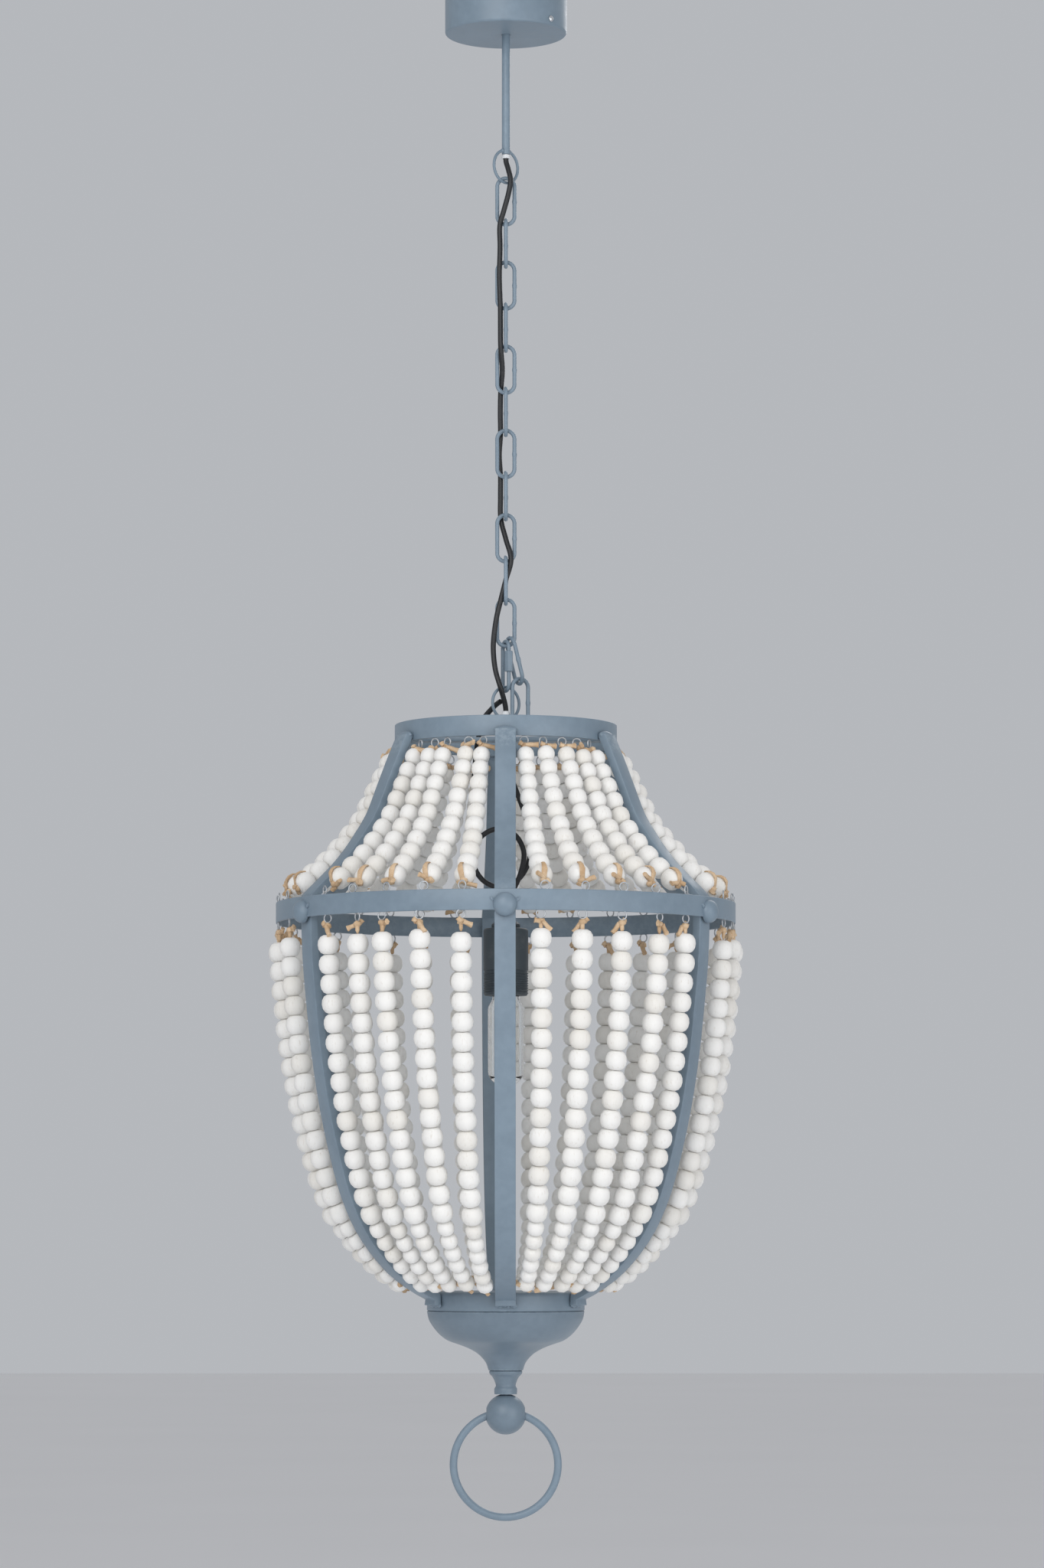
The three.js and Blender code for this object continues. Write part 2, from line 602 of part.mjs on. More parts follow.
// A round cord through hand-laid points, in one step where it hangs plumb
function cord(route) {
  const points = route.map(([x, y, z]) => new THREE.Vector3(x, y, z));
  const curve = new THREE.CatmullRomCurve3(points, false, 'centripetal');
  const stops = [0];
  for (let i = 1; i < points.length; i += 1) {
    const span = points[i].clone().sub(points[i - 1]);
    const plumb = Math.hypot(span.x, span.y) === 0;
    const steps = plumb ? 1 : Math.max(1, Math.round(span.length() / CABLE_STEP));
    for (let k = 1; k <= steps; k += 1) {
      stops.push((i - 1 + k / steps) / (points.length - 1));
    }
  }
  const side = new THREE.Vector3(0, 1, 0);
  return skin(stops.map((stop) => {
    const run = curve.getTangent(stop);
    side.addScaledVector(run, -side.dot(run)).normalize();
    return sectionRing(curve.getPoint(stop), side, run, CABLE_DIAMETER / 2, CABLE_SIDES);
  }));
}

// A cap closed over the end of a cord
function endCap(x, y, z) {
  return rod(END_CAP_DIAMETER, END_CAP_LENGTH).translate(x, y, z);
}

function addCords() {
  piece('power_cable', cord(CABLE_ROUTE), 'cable');
  piece('lamp_cable', cord(LAMP_CABLE_ROUTE), 'cable');
  const tailEnd = CORD_TAIL_ROUTE[CORD_TAIL_ROUTE.length - 1];
  piece('cord_tail', join(cord(CORD_TAIL_ROUTE), endCap(...tailEnd)), 'cable');
}

// A hoop of flat strip
function hoop(outerRadius, bottom, top, steps) {
  return hollowTube(outerRadius, outerRadius - BAND_THICKNESS, bottom, top, steps);
}

// The tube that the frame hangs on, with its loop and bushing, in the middle of a cross of flat bars
function addFrameTop() {
  piece('frame_tube', hollowTube(STEM_DIAMETER / 2, STEM_BORE / 2, frameTubeBottom, frameTubeTop), 'paint');
  const flange = piece('frame_bushing', bushing(), 'whitePlastic');
  flange.position.z = frameTubeTop + SEAT_GAP + BUSHING_HEIGHT / 2;
  const loop = piece('frame_loop', openLoop().rotateY(Math.PI), 'paint');
  loop.position.z = frameLoopCentre;
  loop.rotation.z = radians(FRAME_LOOP_TURN);

  const reach = topRingRadius - BAND_THICKNESS - 2 * SEAT_GAP;
  const bar = box(2 * reach, BAND_HEIGHT, CROSS_BAR_THICKNESS);
  const crossed = toSolid(bar).add(toSolid(bar.clone().rotateZ(Math.PI / 2)));
  const bound = rod(2 * reach, CROSS_BAR_THICKNESS + 2 * OVERRUN, SMALL_RING_STEPS);
  const hole = rod(STEM_DIAMETER + 2 * SEAT_GAP, CROSS_BAR_THICKNESS + 2 * OVERRUN);
  piece('frame_cross_bar', toGeometry(crossed.intersect(toSolid(bound)).subtract(toSolid(hole))), 'paint')
    .position.z = topRingTop - CROSS_BAR_BELOW_RING_TOP - CROSS_BAR_THICKNESS / 2;
  piece('frame_top_ring', hoop(topRingRadius, topRingBottom, topRingTop, SMALL_RING_STEPS), 'paint');
}

// Azimuth of each rib. The back one was set a little off its mark
function ribAzimuth(index) {
  const even = (360 / RIB_COUNT) * index;
  return index === RIB_COUNT / 2 ? even + BACK_RIB_SHIFT : even;
}

// A smooth run through shares of the way from one [radius, height] point to another
function spread(shares, from, to, steps) {
  const points = shares.map(([out, down]) => [
    from[0] + (to[0] - from[0]) * out,
    from[1] + (to[1] - from[1]) * down,
  ]);
  return planeCurve(points).getSpacedPoints(steps).map((p) => [p.x, p.z]);
}

// The middle line of a rib: over the top ring's face, out like a bell, behind the middle ring and in to
// the cup
function ribLine() {
  const half = RIB_THICKNESS / 2;
  const atTop = topRingRadius + SEAT_GAP + half;
  const insideRing = (middleRingRadius - BAND_THICKNESS) * Math.cos(Math.PI / BIG_RING_STEPS) - SEAT_GAP;
  const atMiddle = Math.sqrt(insideRing ** 2 - (RIB_WIDTH / 2) ** 2) - half;
  const atCup = cupRadius + SEAT_GAP + half;
  const cupLapTop = cupLidTop - RIB_DROP_TO_CUP_WALL;
  return [
    [atTop, topRingBottom + RIB_LAP_ON_TOP_RING],
    ...spread(BELL_SHARES, [atTop, topRingBottom + half], [atMiddle, middleRingTop], RIB_BELL_STEPS),
    ...spread(BASKET_SHARES, [atMiddle, middleRingBottom], [atCup, cupLapTop], RIB_BASKET_STEPS),
    [atCup, cupLapTop - RIB_LAP_ON_CUP],
  ];
}

// A line moved to its left by a distance, with its corners mitred
function beside(line, distance) {
  const last = line.length - 1;
  const heading = (i) => (
    new THREE.Vector2(line[i + 1][0] - line[i][0], line[i + 1][1] - line[i][1]).normalize()
  );
  return line.map(([r, z], i) => {
    const arriving = heading(Math.max(i - 1, 0));
    const leaving = heading(Math.min(i, last - 1));
    const run = arriving.clone().add(leaving).normalize();
    const mitre = distance / run.dot(leaving);
    return [r - run.y * mitre, z + run.x * mitre];
  });
}

const RIB_NAMES = ['front', 'front_right', 'back_right', 'back', 'back_left', 'front_left'];

function addRibs() {
  const line = ribLine();
  const outer = beside(line, RIB_THICKNESS / 2);
  const inner = beside(line, -RIB_THICKNESS / 2);
  const bar = extrude([...outer, ...inner.reverse()], RIB_WIDTH)
    .rotateX(Math.PI / 2).translate(0, RIB_WIDTH / 2, 0);
  RIB_NAMES.forEach((place, i) => {
    piece(`rib_${place}`, bar.clone(), 'paint').rotation.z = radians(ribAzimuth(i) - 90);
  });
}

// The middle ring with a half ball welded on in front of each rib
function addMiddleRing() {
  const base = DOME_DIAMETER / 2;
  const dome = revolve([
    [0, 0], [base, 0], [base, BAND_THICKNESS / 2],
    ...DOME_SHARES.map(([out, up]) => [base * out, BAND_THICKNESS / 2 + DOME_HEIGHT * up]),
  ], DOME_STEPS).rotateY(Math.PI / 2);
  const height = (middleRingTop + middleRingBottom) / 2 - DOME_BELOW_BAND_MIDDLE;
  dome.translate(middleRingRadius - BAND_THICKNESS / 2, 0, height);
  const domes = RIB_NAMES.map((place, i) => dome.clone().rotateZ(radians(ribAzimuth(i) - 90)));
  const ring = hoop(middleRingRadius, middleRingBottom, middleRingTop, BIG_RING_STEPS);
  piece('frame_middle_ring', join(ring, ...domes), 'paint');
}

// The lengths along a strand at which its first bead starts and its beads end
function beadSpan(curve, beads, topTieShare) {
  const strung = beads.reduce((sum, bead) => sum + bead * BEAD_HEIGHT_SHARE, 0);
  return { start: (curve.getLength() - strung) * topTieShare, strung };
}

// One strand: a jute tie, beads that touch on their flat faces, and a tie. Its azimuth follows it down,
// and its beads are level with its neighbours' where these press on them
function strand(line, beads, azimuthAt, crowd) {
  const points = line.map(([r, z], i) => (
    outwards(azimuthAt(i / (line.length - 1))).multiplyScalar(r).setZ(z)
  ));
  const curve = new THREE.CatmullRomCurve3(points, false, 'centripetal');
  const length = curve.getLength();
  const ringAt = (along, radius, count) => {
    const share = THREE.MathUtils.clamp(along / length, 0, 1);
    const centre = curve.getPointAt(share);
    const run = curve.getTangentAt(share);
    const side = new THREE.Vector3(-centre.y, centre.x, 0);
    side.addScaledVector(run, -side.dot(run)).normalize();
    return sectionRing(centre, side, run, radius, count);
  };
  let along = crowd.share * length - crowd.strungBefore;
  const rings = [ringAt(0, TIE_WIDTH / 2, WAIST_SIDES)];
  beads.forEach((bead, i) => {
    const narrower = Math.min(bead, beads[Math.max(i - 1, 0)]);
    const height = bead * BEAD_HEIGHT_SHARE;
    rings.push(ringAt(along, narrower * BEAD_FACE_SHARE / 2, WAIST_SIDES));
    rings.push(ringAt(along + height / 2, bead / 2, BEAD_SIDES));
    along += height;
  });
  rings.push(ringAt(along, beads[beads.length - 1] * BEAD_FACE_SHARE / 2, WAIST_SIDES));
  rings.push(ringAt(length, TIE_WIDTH / 2, WAIST_SIDES));
  return skin(rings);
}

// The strands between one rib and the next. They are spread evenly at their even end, and crowd
// together towards the place where neighbouring beads press on each other
function strandPanel(rib, line, beads, crowd) {
  const from = ribAzimuth(rib);
  const to = rib + 1 < RIB_COUNT ? ribAzimuth(rib + 1) : 360;
  const even = (to - from) / (STRANDS_PER_PANEL + 1);
  const strands = [];
  for (let i = 0; i < STRANDS_PER_PANEL; i += 1) {
    const place = i - (STRANDS_PER_PANEL - 1) / 2;
    const azimuthAt = (share) => {
      const crowding = (share - crowd.evenEnd) / (crowd.share - crowd.evenEnd);
      return (from + to) / 2 + place * (even + (crowd.spacing - even) * crowding);
    };
    strands.push(strand(line, beads, azimuthAt, crowd));
  }
  return join(...strands);
}

// Where along a line a bead presses on its neighbours, with a length strung before its middle, and the
// spacing there in degrees
function crowdAt(line, bead, start, strungBefore, evenEnd) {
  const curve = planeCurve(line);
  const share = (start + strungBefore) / curve.getLength();
  const spacing = THREE.MathUtils.radToDeg((bead - BEAD_PRESS) / curve.getPointAt(share).x);
  return { share, strungBefore, spacing, evenEnd };
}

function planeCurve(line) {
  return new THREE.CatmullRomCurve3(line.map(([r, z]) => new THREE.Vector3(r, 0, z)), false, 'centripetal');
}

// Five strands hang in each opening of the bell and five in each opening of the basket. Where they
// crowd together, under the top ring and above the cup, the beads of a row press on each other
function addStrands() {
  const upperLine = spread(
    BELL_SHARES,
    [topBandMiddle, topRingBottom - SEAT_GAP - TIE_WIDTH / 2],
    [middleBandMiddle, middleRingTop + SEAT_GAP + TIE_WIDTH / 2],
    STRAND_STEPS,
  );
  const lowerLine = spread(
    BASKET_SHARES,
    [middleBandMiddle, middleRingBottom - SEAT_GAP],
    [cupRadius + SEAT_GAP + TIE_WIDTH / 2, cupLidTop - RIB_DROP_TO_CUP_WALL - TIE_WIDTH / 2],
    STRAND_STEPS,
  );
  const upperBeads = [];
  for (let i = 0; i < UPPER_BEAD_COUNT; i += 1) {
    upperBeads.push(UPPER_FIRST_BEAD + (LARGE_BEAD - UPPER_FIRST_BEAD) * (i / (UPPER_BEAD_COUNT - 1)));
  }
  const lowerBeads = [
    ...Array(LOWER_LARGE_COUNT).fill(LARGE_BEAD),
    ...Array(LOWER_SMALL_COUNT).fill(SMALL_BEAD),
  ];
  const upperSpan = beadSpan(planeCurve(upperLine), upperBeads, UPPER_TOP_TIE_SHARE);
  const lowerSpan = beadSpan(planeCurve(lowerLine), lowerBeads, LOWER_TOP_TIE_SHARE);
  const half = BEAD_HEIGHT_SHARE / 2;
  const toFirst = UPPER_FIRST_BEAD * half;
  const toLast = lowerSpan.strung - SMALL_BEAD * half;
  const underRing = crowdAt(upperLine, UPPER_FIRST_BEAD, upperSpan.start, toFirst, 1);
  const aboveCup = crowdAt(lowerLine, SMALL_BEAD, lowerSpan.start, toLast, 0);
  RIB_NAMES.forEach((place, i) => {
    const between = `${place}_to_${RIB_NAMES[(i + 1) % RIB_COUNT]}`;
    const upper = strandPanel(i, upperLine, upperBeads, underRing);
    const lower = strandPanel(i, lowerLine, lowerBeads, aboveCup);
    piece(`upper_strands_${between}`, upper, 'bead');
    piece(`lower_strands_${between}`, lower, 'bead');
  });
}

// The cup at the bottom: a drum that the ribs are welded to, a turned bowl, a turned collar and a ball,
// held together by a rod through their middles
function addCup() {
  const plate = cupLidTop - CUP_LID_WALL;
  const inner = cupRadius - CUP_LID_WALL;
  piece('cup_lid', revolve([
    [rodBore, plate], [inner, plate], [inner, cupLidBottom], [cupRadius, cupLidBottom],
    [cupRadius, cupLidTop - CUP_LID_WALL], [cupRadius - CUP_LID_WALL, cupLidTop], [rodBore, cupLidTop],
  ], SMALL_RING_STEPS, true), 'paint');
  piece('cup_bowl', revolve([
    [rodBore, bowlTop],
    ...BOWL_SHARES.map(([out, down]) => [cupRadius * out, bowlTop - BOWL_HEIGHT * down]),
    [rodBore, bowlBottom],
  ], SMALL_RING_STEPS, true), 'paintedWood');
  piece('finial_collar', revolve([
    [rodBore, collarTop],
    ...COLLAR_SHARES.map(([out, down]) => [COLLAR_DIAMETER / 2 * out, collarTop - COLLAR_HEIGHT * down]),
    [rodBore, collarBottom],
  ], BODY_STEPS, true), 'paintedWood');

  const topAngle = Math.asin(BALL_TOP_FLAT_DIAMETER / BALL_DIAMETER);
  const outline = [[0, ballTop - ballCentre]];
  for (let i = 0; i <= BALL_ROWS; i += 1) {
    const turn = topAngle + ((Math.PI - topAngle) * i) / BALL_ROWS;
    outline.push([ballRadius * Math.sin(turn), ballRadius * Math.cos(turn)]);
  }
  const rodHole = rod(2 * rodBore, TIE_ROD_IN_BALL + OVERRUN)
    .translate(0, 0, ballTop - ballCentre - (TIE_ROD_IN_BALL - OVERRUN) / 2 - SEAT_GAP);
  const ringHole = rod(PULL_RING_HOLE_DIAMETER, BALL_DIAMETER + 2 * OVERRUN, BODY_STEPS).rotateY(Math.PI / 2);
  piece('finial_ball', cut(revolve(outline, BODY_STEPS), rodHole, ringHole), 'paintedWood')
    .position.z = ballCentre;

  const head = TIE_ROD_HEAD_DIAMETER / 2;
  const headBottom = cupLidTop + SEAT_GAP;
  const rodEnd = ballTop - TIE_ROD_IN_BALL;
  piece('tie_rod', revolve([
    [0, rodEnd], [rodRadius, rodEnd], [rodRadius, headBottom], [head, headBottom],
    [head, headBottom + TIE_ROD_HEAD_HEIGHT / 2], [head / 2, headBottom + TIE_ROD_HEAD_HEIGHT],
    [0, headBottom + TIE_ROD_HEAD_HEIGHT],
  ], TUBE_STEPS), 'steel');
}

// A ring of round bar through the ball. It rests on the lower lip of each end of the hole
function addPullRing() {
  const radius = (PULL_RING_DIAMETER - PULL_RING_WIRE) / 2;
  const inside = radius - PULL_RING_WIRE / 2;
  const holeRadius = PULL_RING_HOLE_DIAMETER / 2;
  const lip = Math.sqrt(ballRadius ** 2 - holeRadius ** 2);
  const centre = ballCentre - holeRadius + SEAT_GAP - Math.sqrt(inside ** 2 - lip ** 2);
  const rings = [];
  for (let i = 0; i < PULL_RING_STEPS; i += 1) {
    const turn = (2 * Math.PI * i) / PULL_RING_STEPS;
    const out = new THREE.Vector3(Math.sin(turn), 0, Math.cos(turn));
    const run = new THREE.Vector3(Math.cos(turn), 0, -Math.sin(turn));
    rings.push(sectionRing(
      out.clone().multiplyScalar(radius), out, run, PULL_RING_WIRE / 2, PULL_RING_SIDES,
    ));
  }
  piece('pull_ring', skin(rings, true), 'paint').position.z = centre;
}

// Lamp: a cord grip, a holder and a clear tubular bulb screwed up into it
function addLamp() {
  const cableBore = CABLE_DIAMETER / 2 + SEAT_GAP;
  const grip = GRIP_DIAMETER / 2;
  piece('cord_grip', revolve([
    [cableBore, gripTop - GRIP_HEIGHT], [grip, gripTop - GRIP_HEIGHT],
    [grip, gripTop - GRIP_HEIGHT * 2 / 3], [GRIP_TOP_DIAMETER / 2, gripTop - GRIP_HEIGHT / 3],
    [GRIP_TOP_DIAMETER / 2, gripTop], [cableBore, gripTop],
  ], BODY_STEPS, true), 'darkPlastic');

  const outer = HOLDER_DIAMETER / 2;
  const socket = BULB_BASE_DIAMETER / 2 + SEAT_GAP;
  const edge = HOLDER_EDGE_RADIUS;
  const floor = holderTop - HOLDER_FLOOR;
  piece('lamp_holder', revolve([
    [cableBore, floor], [socket, floor], [socket, holderBottom], [outer, holderBottom],
    [outer, holderTop - edge], [outer - edge, holderTop], [cableBore, holderTop],
  ], BODY_STEPS, true), 'darkPlastic');

  const base = BULB_BASE_DIAMETER / 2;
  const contact = BULB_CONTACT_DIAMETER / 2;
  const shoulder = bulbBaseTop - BULB_CONTACT_HEIGHT;
  piece('bulb_base', revolve([
    [0, bulbBaseTop], [contact, bulbBaseTop], [base, shoulder], [base, shoulder - BULB_BASE_LENGTH],
    [0, shoulder - BULB_BASE_LENGTH],
  ], BODY_STEPS), 'steel');

  const neck = BULB_NECK_DIAMETER / 2;
  const skinAt = (wall) => BULB_SHARES.map(([out, down]) => [
    neck + (BULB_DIAMETER / 2 - neck) * out - wall,
    bulbTop - BULB_LENGTH * down,
  ]);
  piece('bulb_glass', revolve([
    ...skinAt(0), [0, bulbTop - BULB_LENGTH], [0, bulbTop - BULB_LENGTH + BULB_WALL],
    ...skinAt(BULB_WALL).reverse(),
  ], BODY_STEPS, true), 'glass');
}

addBracket();
addCanopy();
addStem();
addChain();
addQuickLink();
addCords();
addFrameTop();
addRibs();
addMiddleRing();
addStrands();
addCup();
addPullRing();
addLamp();

export default chandelier;
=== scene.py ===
import logging
import math
import random
from collections.abc import Callable, Iterator, Mapping, Sequence
from contextlib import contextmanager
from dataclasses import dataclass, field
from enum import Enum
from itertools import pairwise
from typing import Any

import bmesh
import bpy
from mathutils import Matrix, Vector


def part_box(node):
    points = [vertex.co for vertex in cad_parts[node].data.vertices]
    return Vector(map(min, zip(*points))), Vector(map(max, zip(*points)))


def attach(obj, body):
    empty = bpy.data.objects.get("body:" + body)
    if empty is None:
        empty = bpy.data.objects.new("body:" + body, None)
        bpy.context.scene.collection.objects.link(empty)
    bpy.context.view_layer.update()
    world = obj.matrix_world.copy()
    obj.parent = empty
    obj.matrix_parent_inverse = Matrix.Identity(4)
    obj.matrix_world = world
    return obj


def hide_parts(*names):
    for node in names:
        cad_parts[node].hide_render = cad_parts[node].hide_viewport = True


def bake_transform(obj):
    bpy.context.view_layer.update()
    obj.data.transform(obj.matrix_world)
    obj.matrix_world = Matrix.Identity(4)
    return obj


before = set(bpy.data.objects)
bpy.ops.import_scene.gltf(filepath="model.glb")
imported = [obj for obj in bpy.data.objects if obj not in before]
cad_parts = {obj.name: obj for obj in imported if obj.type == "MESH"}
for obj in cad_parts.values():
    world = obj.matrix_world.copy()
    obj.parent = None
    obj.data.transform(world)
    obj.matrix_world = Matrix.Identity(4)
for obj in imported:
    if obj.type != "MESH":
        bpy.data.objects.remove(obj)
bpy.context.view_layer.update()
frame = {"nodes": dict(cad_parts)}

# The looks of a beaded chandelier: its solids, finished or modelled again in full. Metres, +Z up,
# with the origin on the ceiling above the middle of the canopy, as in the solids.

Pair = tuple[float, float]
Outline = list[Pair]
Place = tuple[float, float, float]
Colour = tuple[float, float, float]
Piece = bpy.types.Object
Socket = bpy.types.NodeSocket

MM = 0.001
TOLERANCE = 0.05 * MM
RIB_NAMES = ("front", "front_right", "back_right", "back", "back_left", "front_left")
log = logging.getLogger("chandelier")


class Parts(Enum):
    """What a selection in edit mode is made of."""

    VERTS = "VERT"
    EDGES = "EDGE"
    FACES = "FACE"


class Section(Enum):
    """The two halves of the basket, above and below its widest ring."""

    UPPER = "upper"
    LOWER = "lower"


# Modelling


def leave_edit_mode() -> None:
    """Goes back to object mode."""
    bpy.ops.object.mode_set(mode="OBJECT")


def deselect() -> None:
    """Leaves nothing selected, in object mode."""
    if bpy.context.mode != "OBJECT":
        leave_edit_mode()
    bpy.ops.object.select_all(action="DESELECT")


def take(piece: Piece) -> Piece:
    """Selects one object alone and makes it the active one.

    Args:
        piece: The piece.

    Returns:
        The same piece.
    """
    deselect()
    piece.select_set(True)
    bpy.context.view_layer.objects.active = piece
    return piece


@contextmanager
def editing(piece: Piece, parts: Parts = Parts.VERTS) -> Iterator[Piece]:
    """Opens a piece in edit mode with nothing selected, and leaves it in object mode.

    Args:
        piece: The piece.
        parts: What is selected in it.

    Returns:
        The piece, while it is open.
    """
    take(piece)
    bpy.ops.object.mode_set(mode="EDIT")
    bpy.ops.mesh.select_mode(type=parts.value)
    bpy.ops.mesh.select_all(action="DESELECT")
    yield piece
    leave_edit_mode()


def pick(piece: Piece, test: Callable[[Vector], bool], parts: Parts = Parts.VERTS) -> None:
    """Selects, in edit mode, what passes a test on its place.

    Args:
        piece: The object in edit mode.
        test: Takes a vertex's place, or the middle of an edge or a face.
        parts: Whether vertices, edges or faces are tested.
    """
    bpy.ops.mesh.select_mode(type=parts.value)
    bpy.ops.mesh.select_all(action="DESELECT")
    work = bmesh.from_edit_mesh(piece.data)
    if parts is Parts.VERTS:
        for vert in work.verts:
            vert.select = test(vert.co)
    elif parts is Parts.EDGES:
        for edge in work.edges:
            edge.select = test((edge.verts[0].co + edge.verts[1].co) / 2)
    else:
        for face in work.faces:
            face.select = test(face.calc_center_median())
    work.select_flush_mode()
    bmesh.update_edit_mesh(piece.data)


def pick_all() -> None:
    """Selects the whole mesh in edit mode."""
    bpy.ops.mesh.select_all(action="SELECT")


def move_selected(x: float, y: float, z: float) -> None:
    """Moves the selection."""
    bpy.ops.transform.translate(value=(x, y, z))


def scale_selected(x: float, y: float, z: float, centre: Place = (0, 0, 0)) -> None:
    """Scales the selection about a point."""
    bpy.ops.transform.resize(value=(x, y, z), center_override=centre)


def turn_selected(angle: float, axis: str, centre: Vector) -> None:
    """Turns the selection by the right-hand rule. The operator itself turns the other way."""
    bpy.ops.transform.rotate(value=-angle, orient_axis=axis, center_override=centre)


def cut_across(*heights: float) -> None:
    """Cuts a level loop of edges through the whole mesh at each height."""
    for height in heights:
        pick_all()
        bpy.ops.mesh.bisect(plane_co=(0, 0, height), plane_no=(0, 0, 1))


def close_holes() -> None:
    """Closes the open edges of the mesh in edit mode."""
    pick_all()
    bpy.ops.mesh.fill_holes(sides=0)


def shift(x: float, y: float, z: float) -> Matrix:
    """The matrix of a move."""
    return Matrix.Translation((x, y, z))


def rotation(degrees: float, axis: str = "Z") -> Matrix:
    """The matrix of a turn about an axis through the origin."""
    return Matrix.Rotation(math.radians(degrees), 4, axis)


def into_scene(piece: Piece) -> Piece:
    """Puts a new object into the scene."""
    bpy.context.scene.collection.objects.link(piece)
    return piece


def active() -> Piece:
    """The active object."""
    return bpy.context.view_layer.objects.active


def named(name: str) -> Piece:
    """Names the active object and its mesh, and returns it.

    Args:
        name: The new name.

    Returns:
        The object.
    """
    piece = active()
    piece.name = name
    piece.data.name = name
    return piece


def placed(piece: Piece, place: Matrix) -> Piece:
    """Moves a piece's mesh, so that its object stays at the origin.

    Args:
        piece: The piece.
        place: Where it goes.

    Returns:
        The piece.
    """
    take(piece)
    bpy.ops.object.transform_apply(location=True, rotation=True, scale=True)
    piece.data.transform(place)
    return piece


def duplicate(piece: Piece, name: str, place: Matrix) -> Piece:
    """A copy of a piece with its own mesh, at another place.

    Args:
        piece: What is copied.
        name: The copy's name.
        place: Where the copy goes.

    Returns:
        The copy.
    """
    copy = piece.copy()
    copy.data = piece.data.copy()
    copy.name = name
    copy.data.name = name
    copy.data.transform(place)
    return into_scene(copy)


def discard(piece: Piece) -> None:
    """Removes a pattern object that has been copied."""
    bpy.data.objects.remove(piece)


def joined(name: str, pieces: Sequence[Piece]) -> Piece:
    """Joins objects into one piece.

    Args:
        name: The piece's name.
        pieces: What is joined.

    Returns:
        The piece.
    """
    deselect()
    for piece in pieces:
        piece.select_set(True)
    bpy.context.view_layer.objects.active = pieces[0]
    if len(pieces) > 1:
        bpy.ops.object.join()
    return named(name)


def apply_modifier(piece: Piece, kind: str, settings: Mapping[str, Any]) -> Piece:
    """Adds a modifier with its settings and applies it.

    Args:
        piece: The piece.
        kind: The modifier's type.
        settings: Its properties.

    Returns:
        The piece.
    """
    take(piece)
    modifier = piece.modifiers.new(kind.title(), kind)
    for key, value in settings.items():
        setattr(modifier, key, value)
    bpy.ops.object.modifier_apply(modifier=modifier.name)
    return piece


def bevelled(piece: Piece, width: float, segments: int = 2, angle: float = 35) -> Piece:
    """Rounds the sharp edges of a piece.

    Args:
        piece: The piece.
        width: Width of the bevel.
        segments: Steps across it.
        angle: The least angle of a sharp edge, in degrees.

    Returns:
        The piece.
    """
    settings = {
        "width": width,
        "segments": segments,
        "limit_method": "ANGLE",
        "angle_limit": math.radians(angle),
        "use_clamp_overlap": True,
    }
    return apply_modifier(piece, "BEVEL", settings)


def smoothed(piece: Piece, angle: float = 38) -> Piece:
    """Shades a piece smooth, apart from edges sharper than an angle in degrees.

    Args:
        piece: The piece.
        angle: The angle.

    Returns:
        The piece.
    """
    take(piece)
    bpy.ops.object.shade_smooth_by_angle(angle=math.radians(angle))
    return piece


def arc(centre: Pair, radius: float, start: float, end: float, steps: int = 5) -> Outline:
    """Outline points on an arc, its angles in degrees from the outward direction towards +Z."""
    turns = [math.radians(start + (end - start) * i / steps) for i in range(steps + 1)]
    return [(centre[0] + radius * math.cos(a), centre[1] + radius * math.sin(a)) for a in turns]


def turned(name: str, outline: Outline, steps: int = 72, ring: bool = False) -> Piece:
    """A body of revolution about Z, spun from an outline as on a lathe.

    Args:
        name: The piece's name.
        outline: (radius, height) points.
        steps: Steps round the axis.
        ring: Whether the outline closes on itself.

    Returns:
        The object, at the origin.
    """
    deselect()
    bpy.ops.mesh.primitive_plane_add(size=MM, location=(0, 0, 0), enter_editmode=True)
    bpy.ops.mesh.select_mode(type=Parts.VERTS.value)
    pick_all()
    bpy.ops.mesh.merge(type="CENTER")
    move_selected(outline[0][0], 0, outline[0][1])
    for before, after in pairwise([*outline, outline[0]] if ring else outline):
        step = (after[0] - before[0], 0, after[1] - before[1])
        bpy.ops.mesh.extrude_vertices_move(TRANSFORM_OT_translate={"value": step})
    pick_all()
    bpy.ops.mesh.spin(steps=steps, angle=2 * math.pi, center=(0, 0, 0), axis=(0, 0, 1))
    pick_all()
    bpy.ops.mesh.remove_doubles(threshold=0.01 * MM)
    bpy.ops.mesh.normals_make_consistent(inside=False)
    leave_edit_mode()
    return named(name)


def stepped(base: float, crest: float, height: float, step: float) -> Outline:
    """The outline of a rib or a groove: to its crest, along it and back, in three steps up."""
    radii = (base, crest, crest, base)
    return [(radius, height + step * index) for index, radius in enumerate(radii)]


def hollow(outer: float, inner: float, bottom: float, top: float, edge: float) -> Outline:
    """The outline of a straight hollow tube with small rounded edges.

    Args:
        outer: Outer radius.
        inner: Inner radius.
        bottom: Its lowest height.
        top: Its greatest height.
        edge: Radius of the edges.

    Returns:
        The outline.
    """
    return [
        (inner, bottom + edge), (inner + edge, bottom),
        *arc((outer - edge, bottom + edge), edge, -90, 0, 3),
        *arc((outer - edge, top - edge), edge, 0, 90, 3),
        (inner + edge, top), (inner, top - edge),
    ]


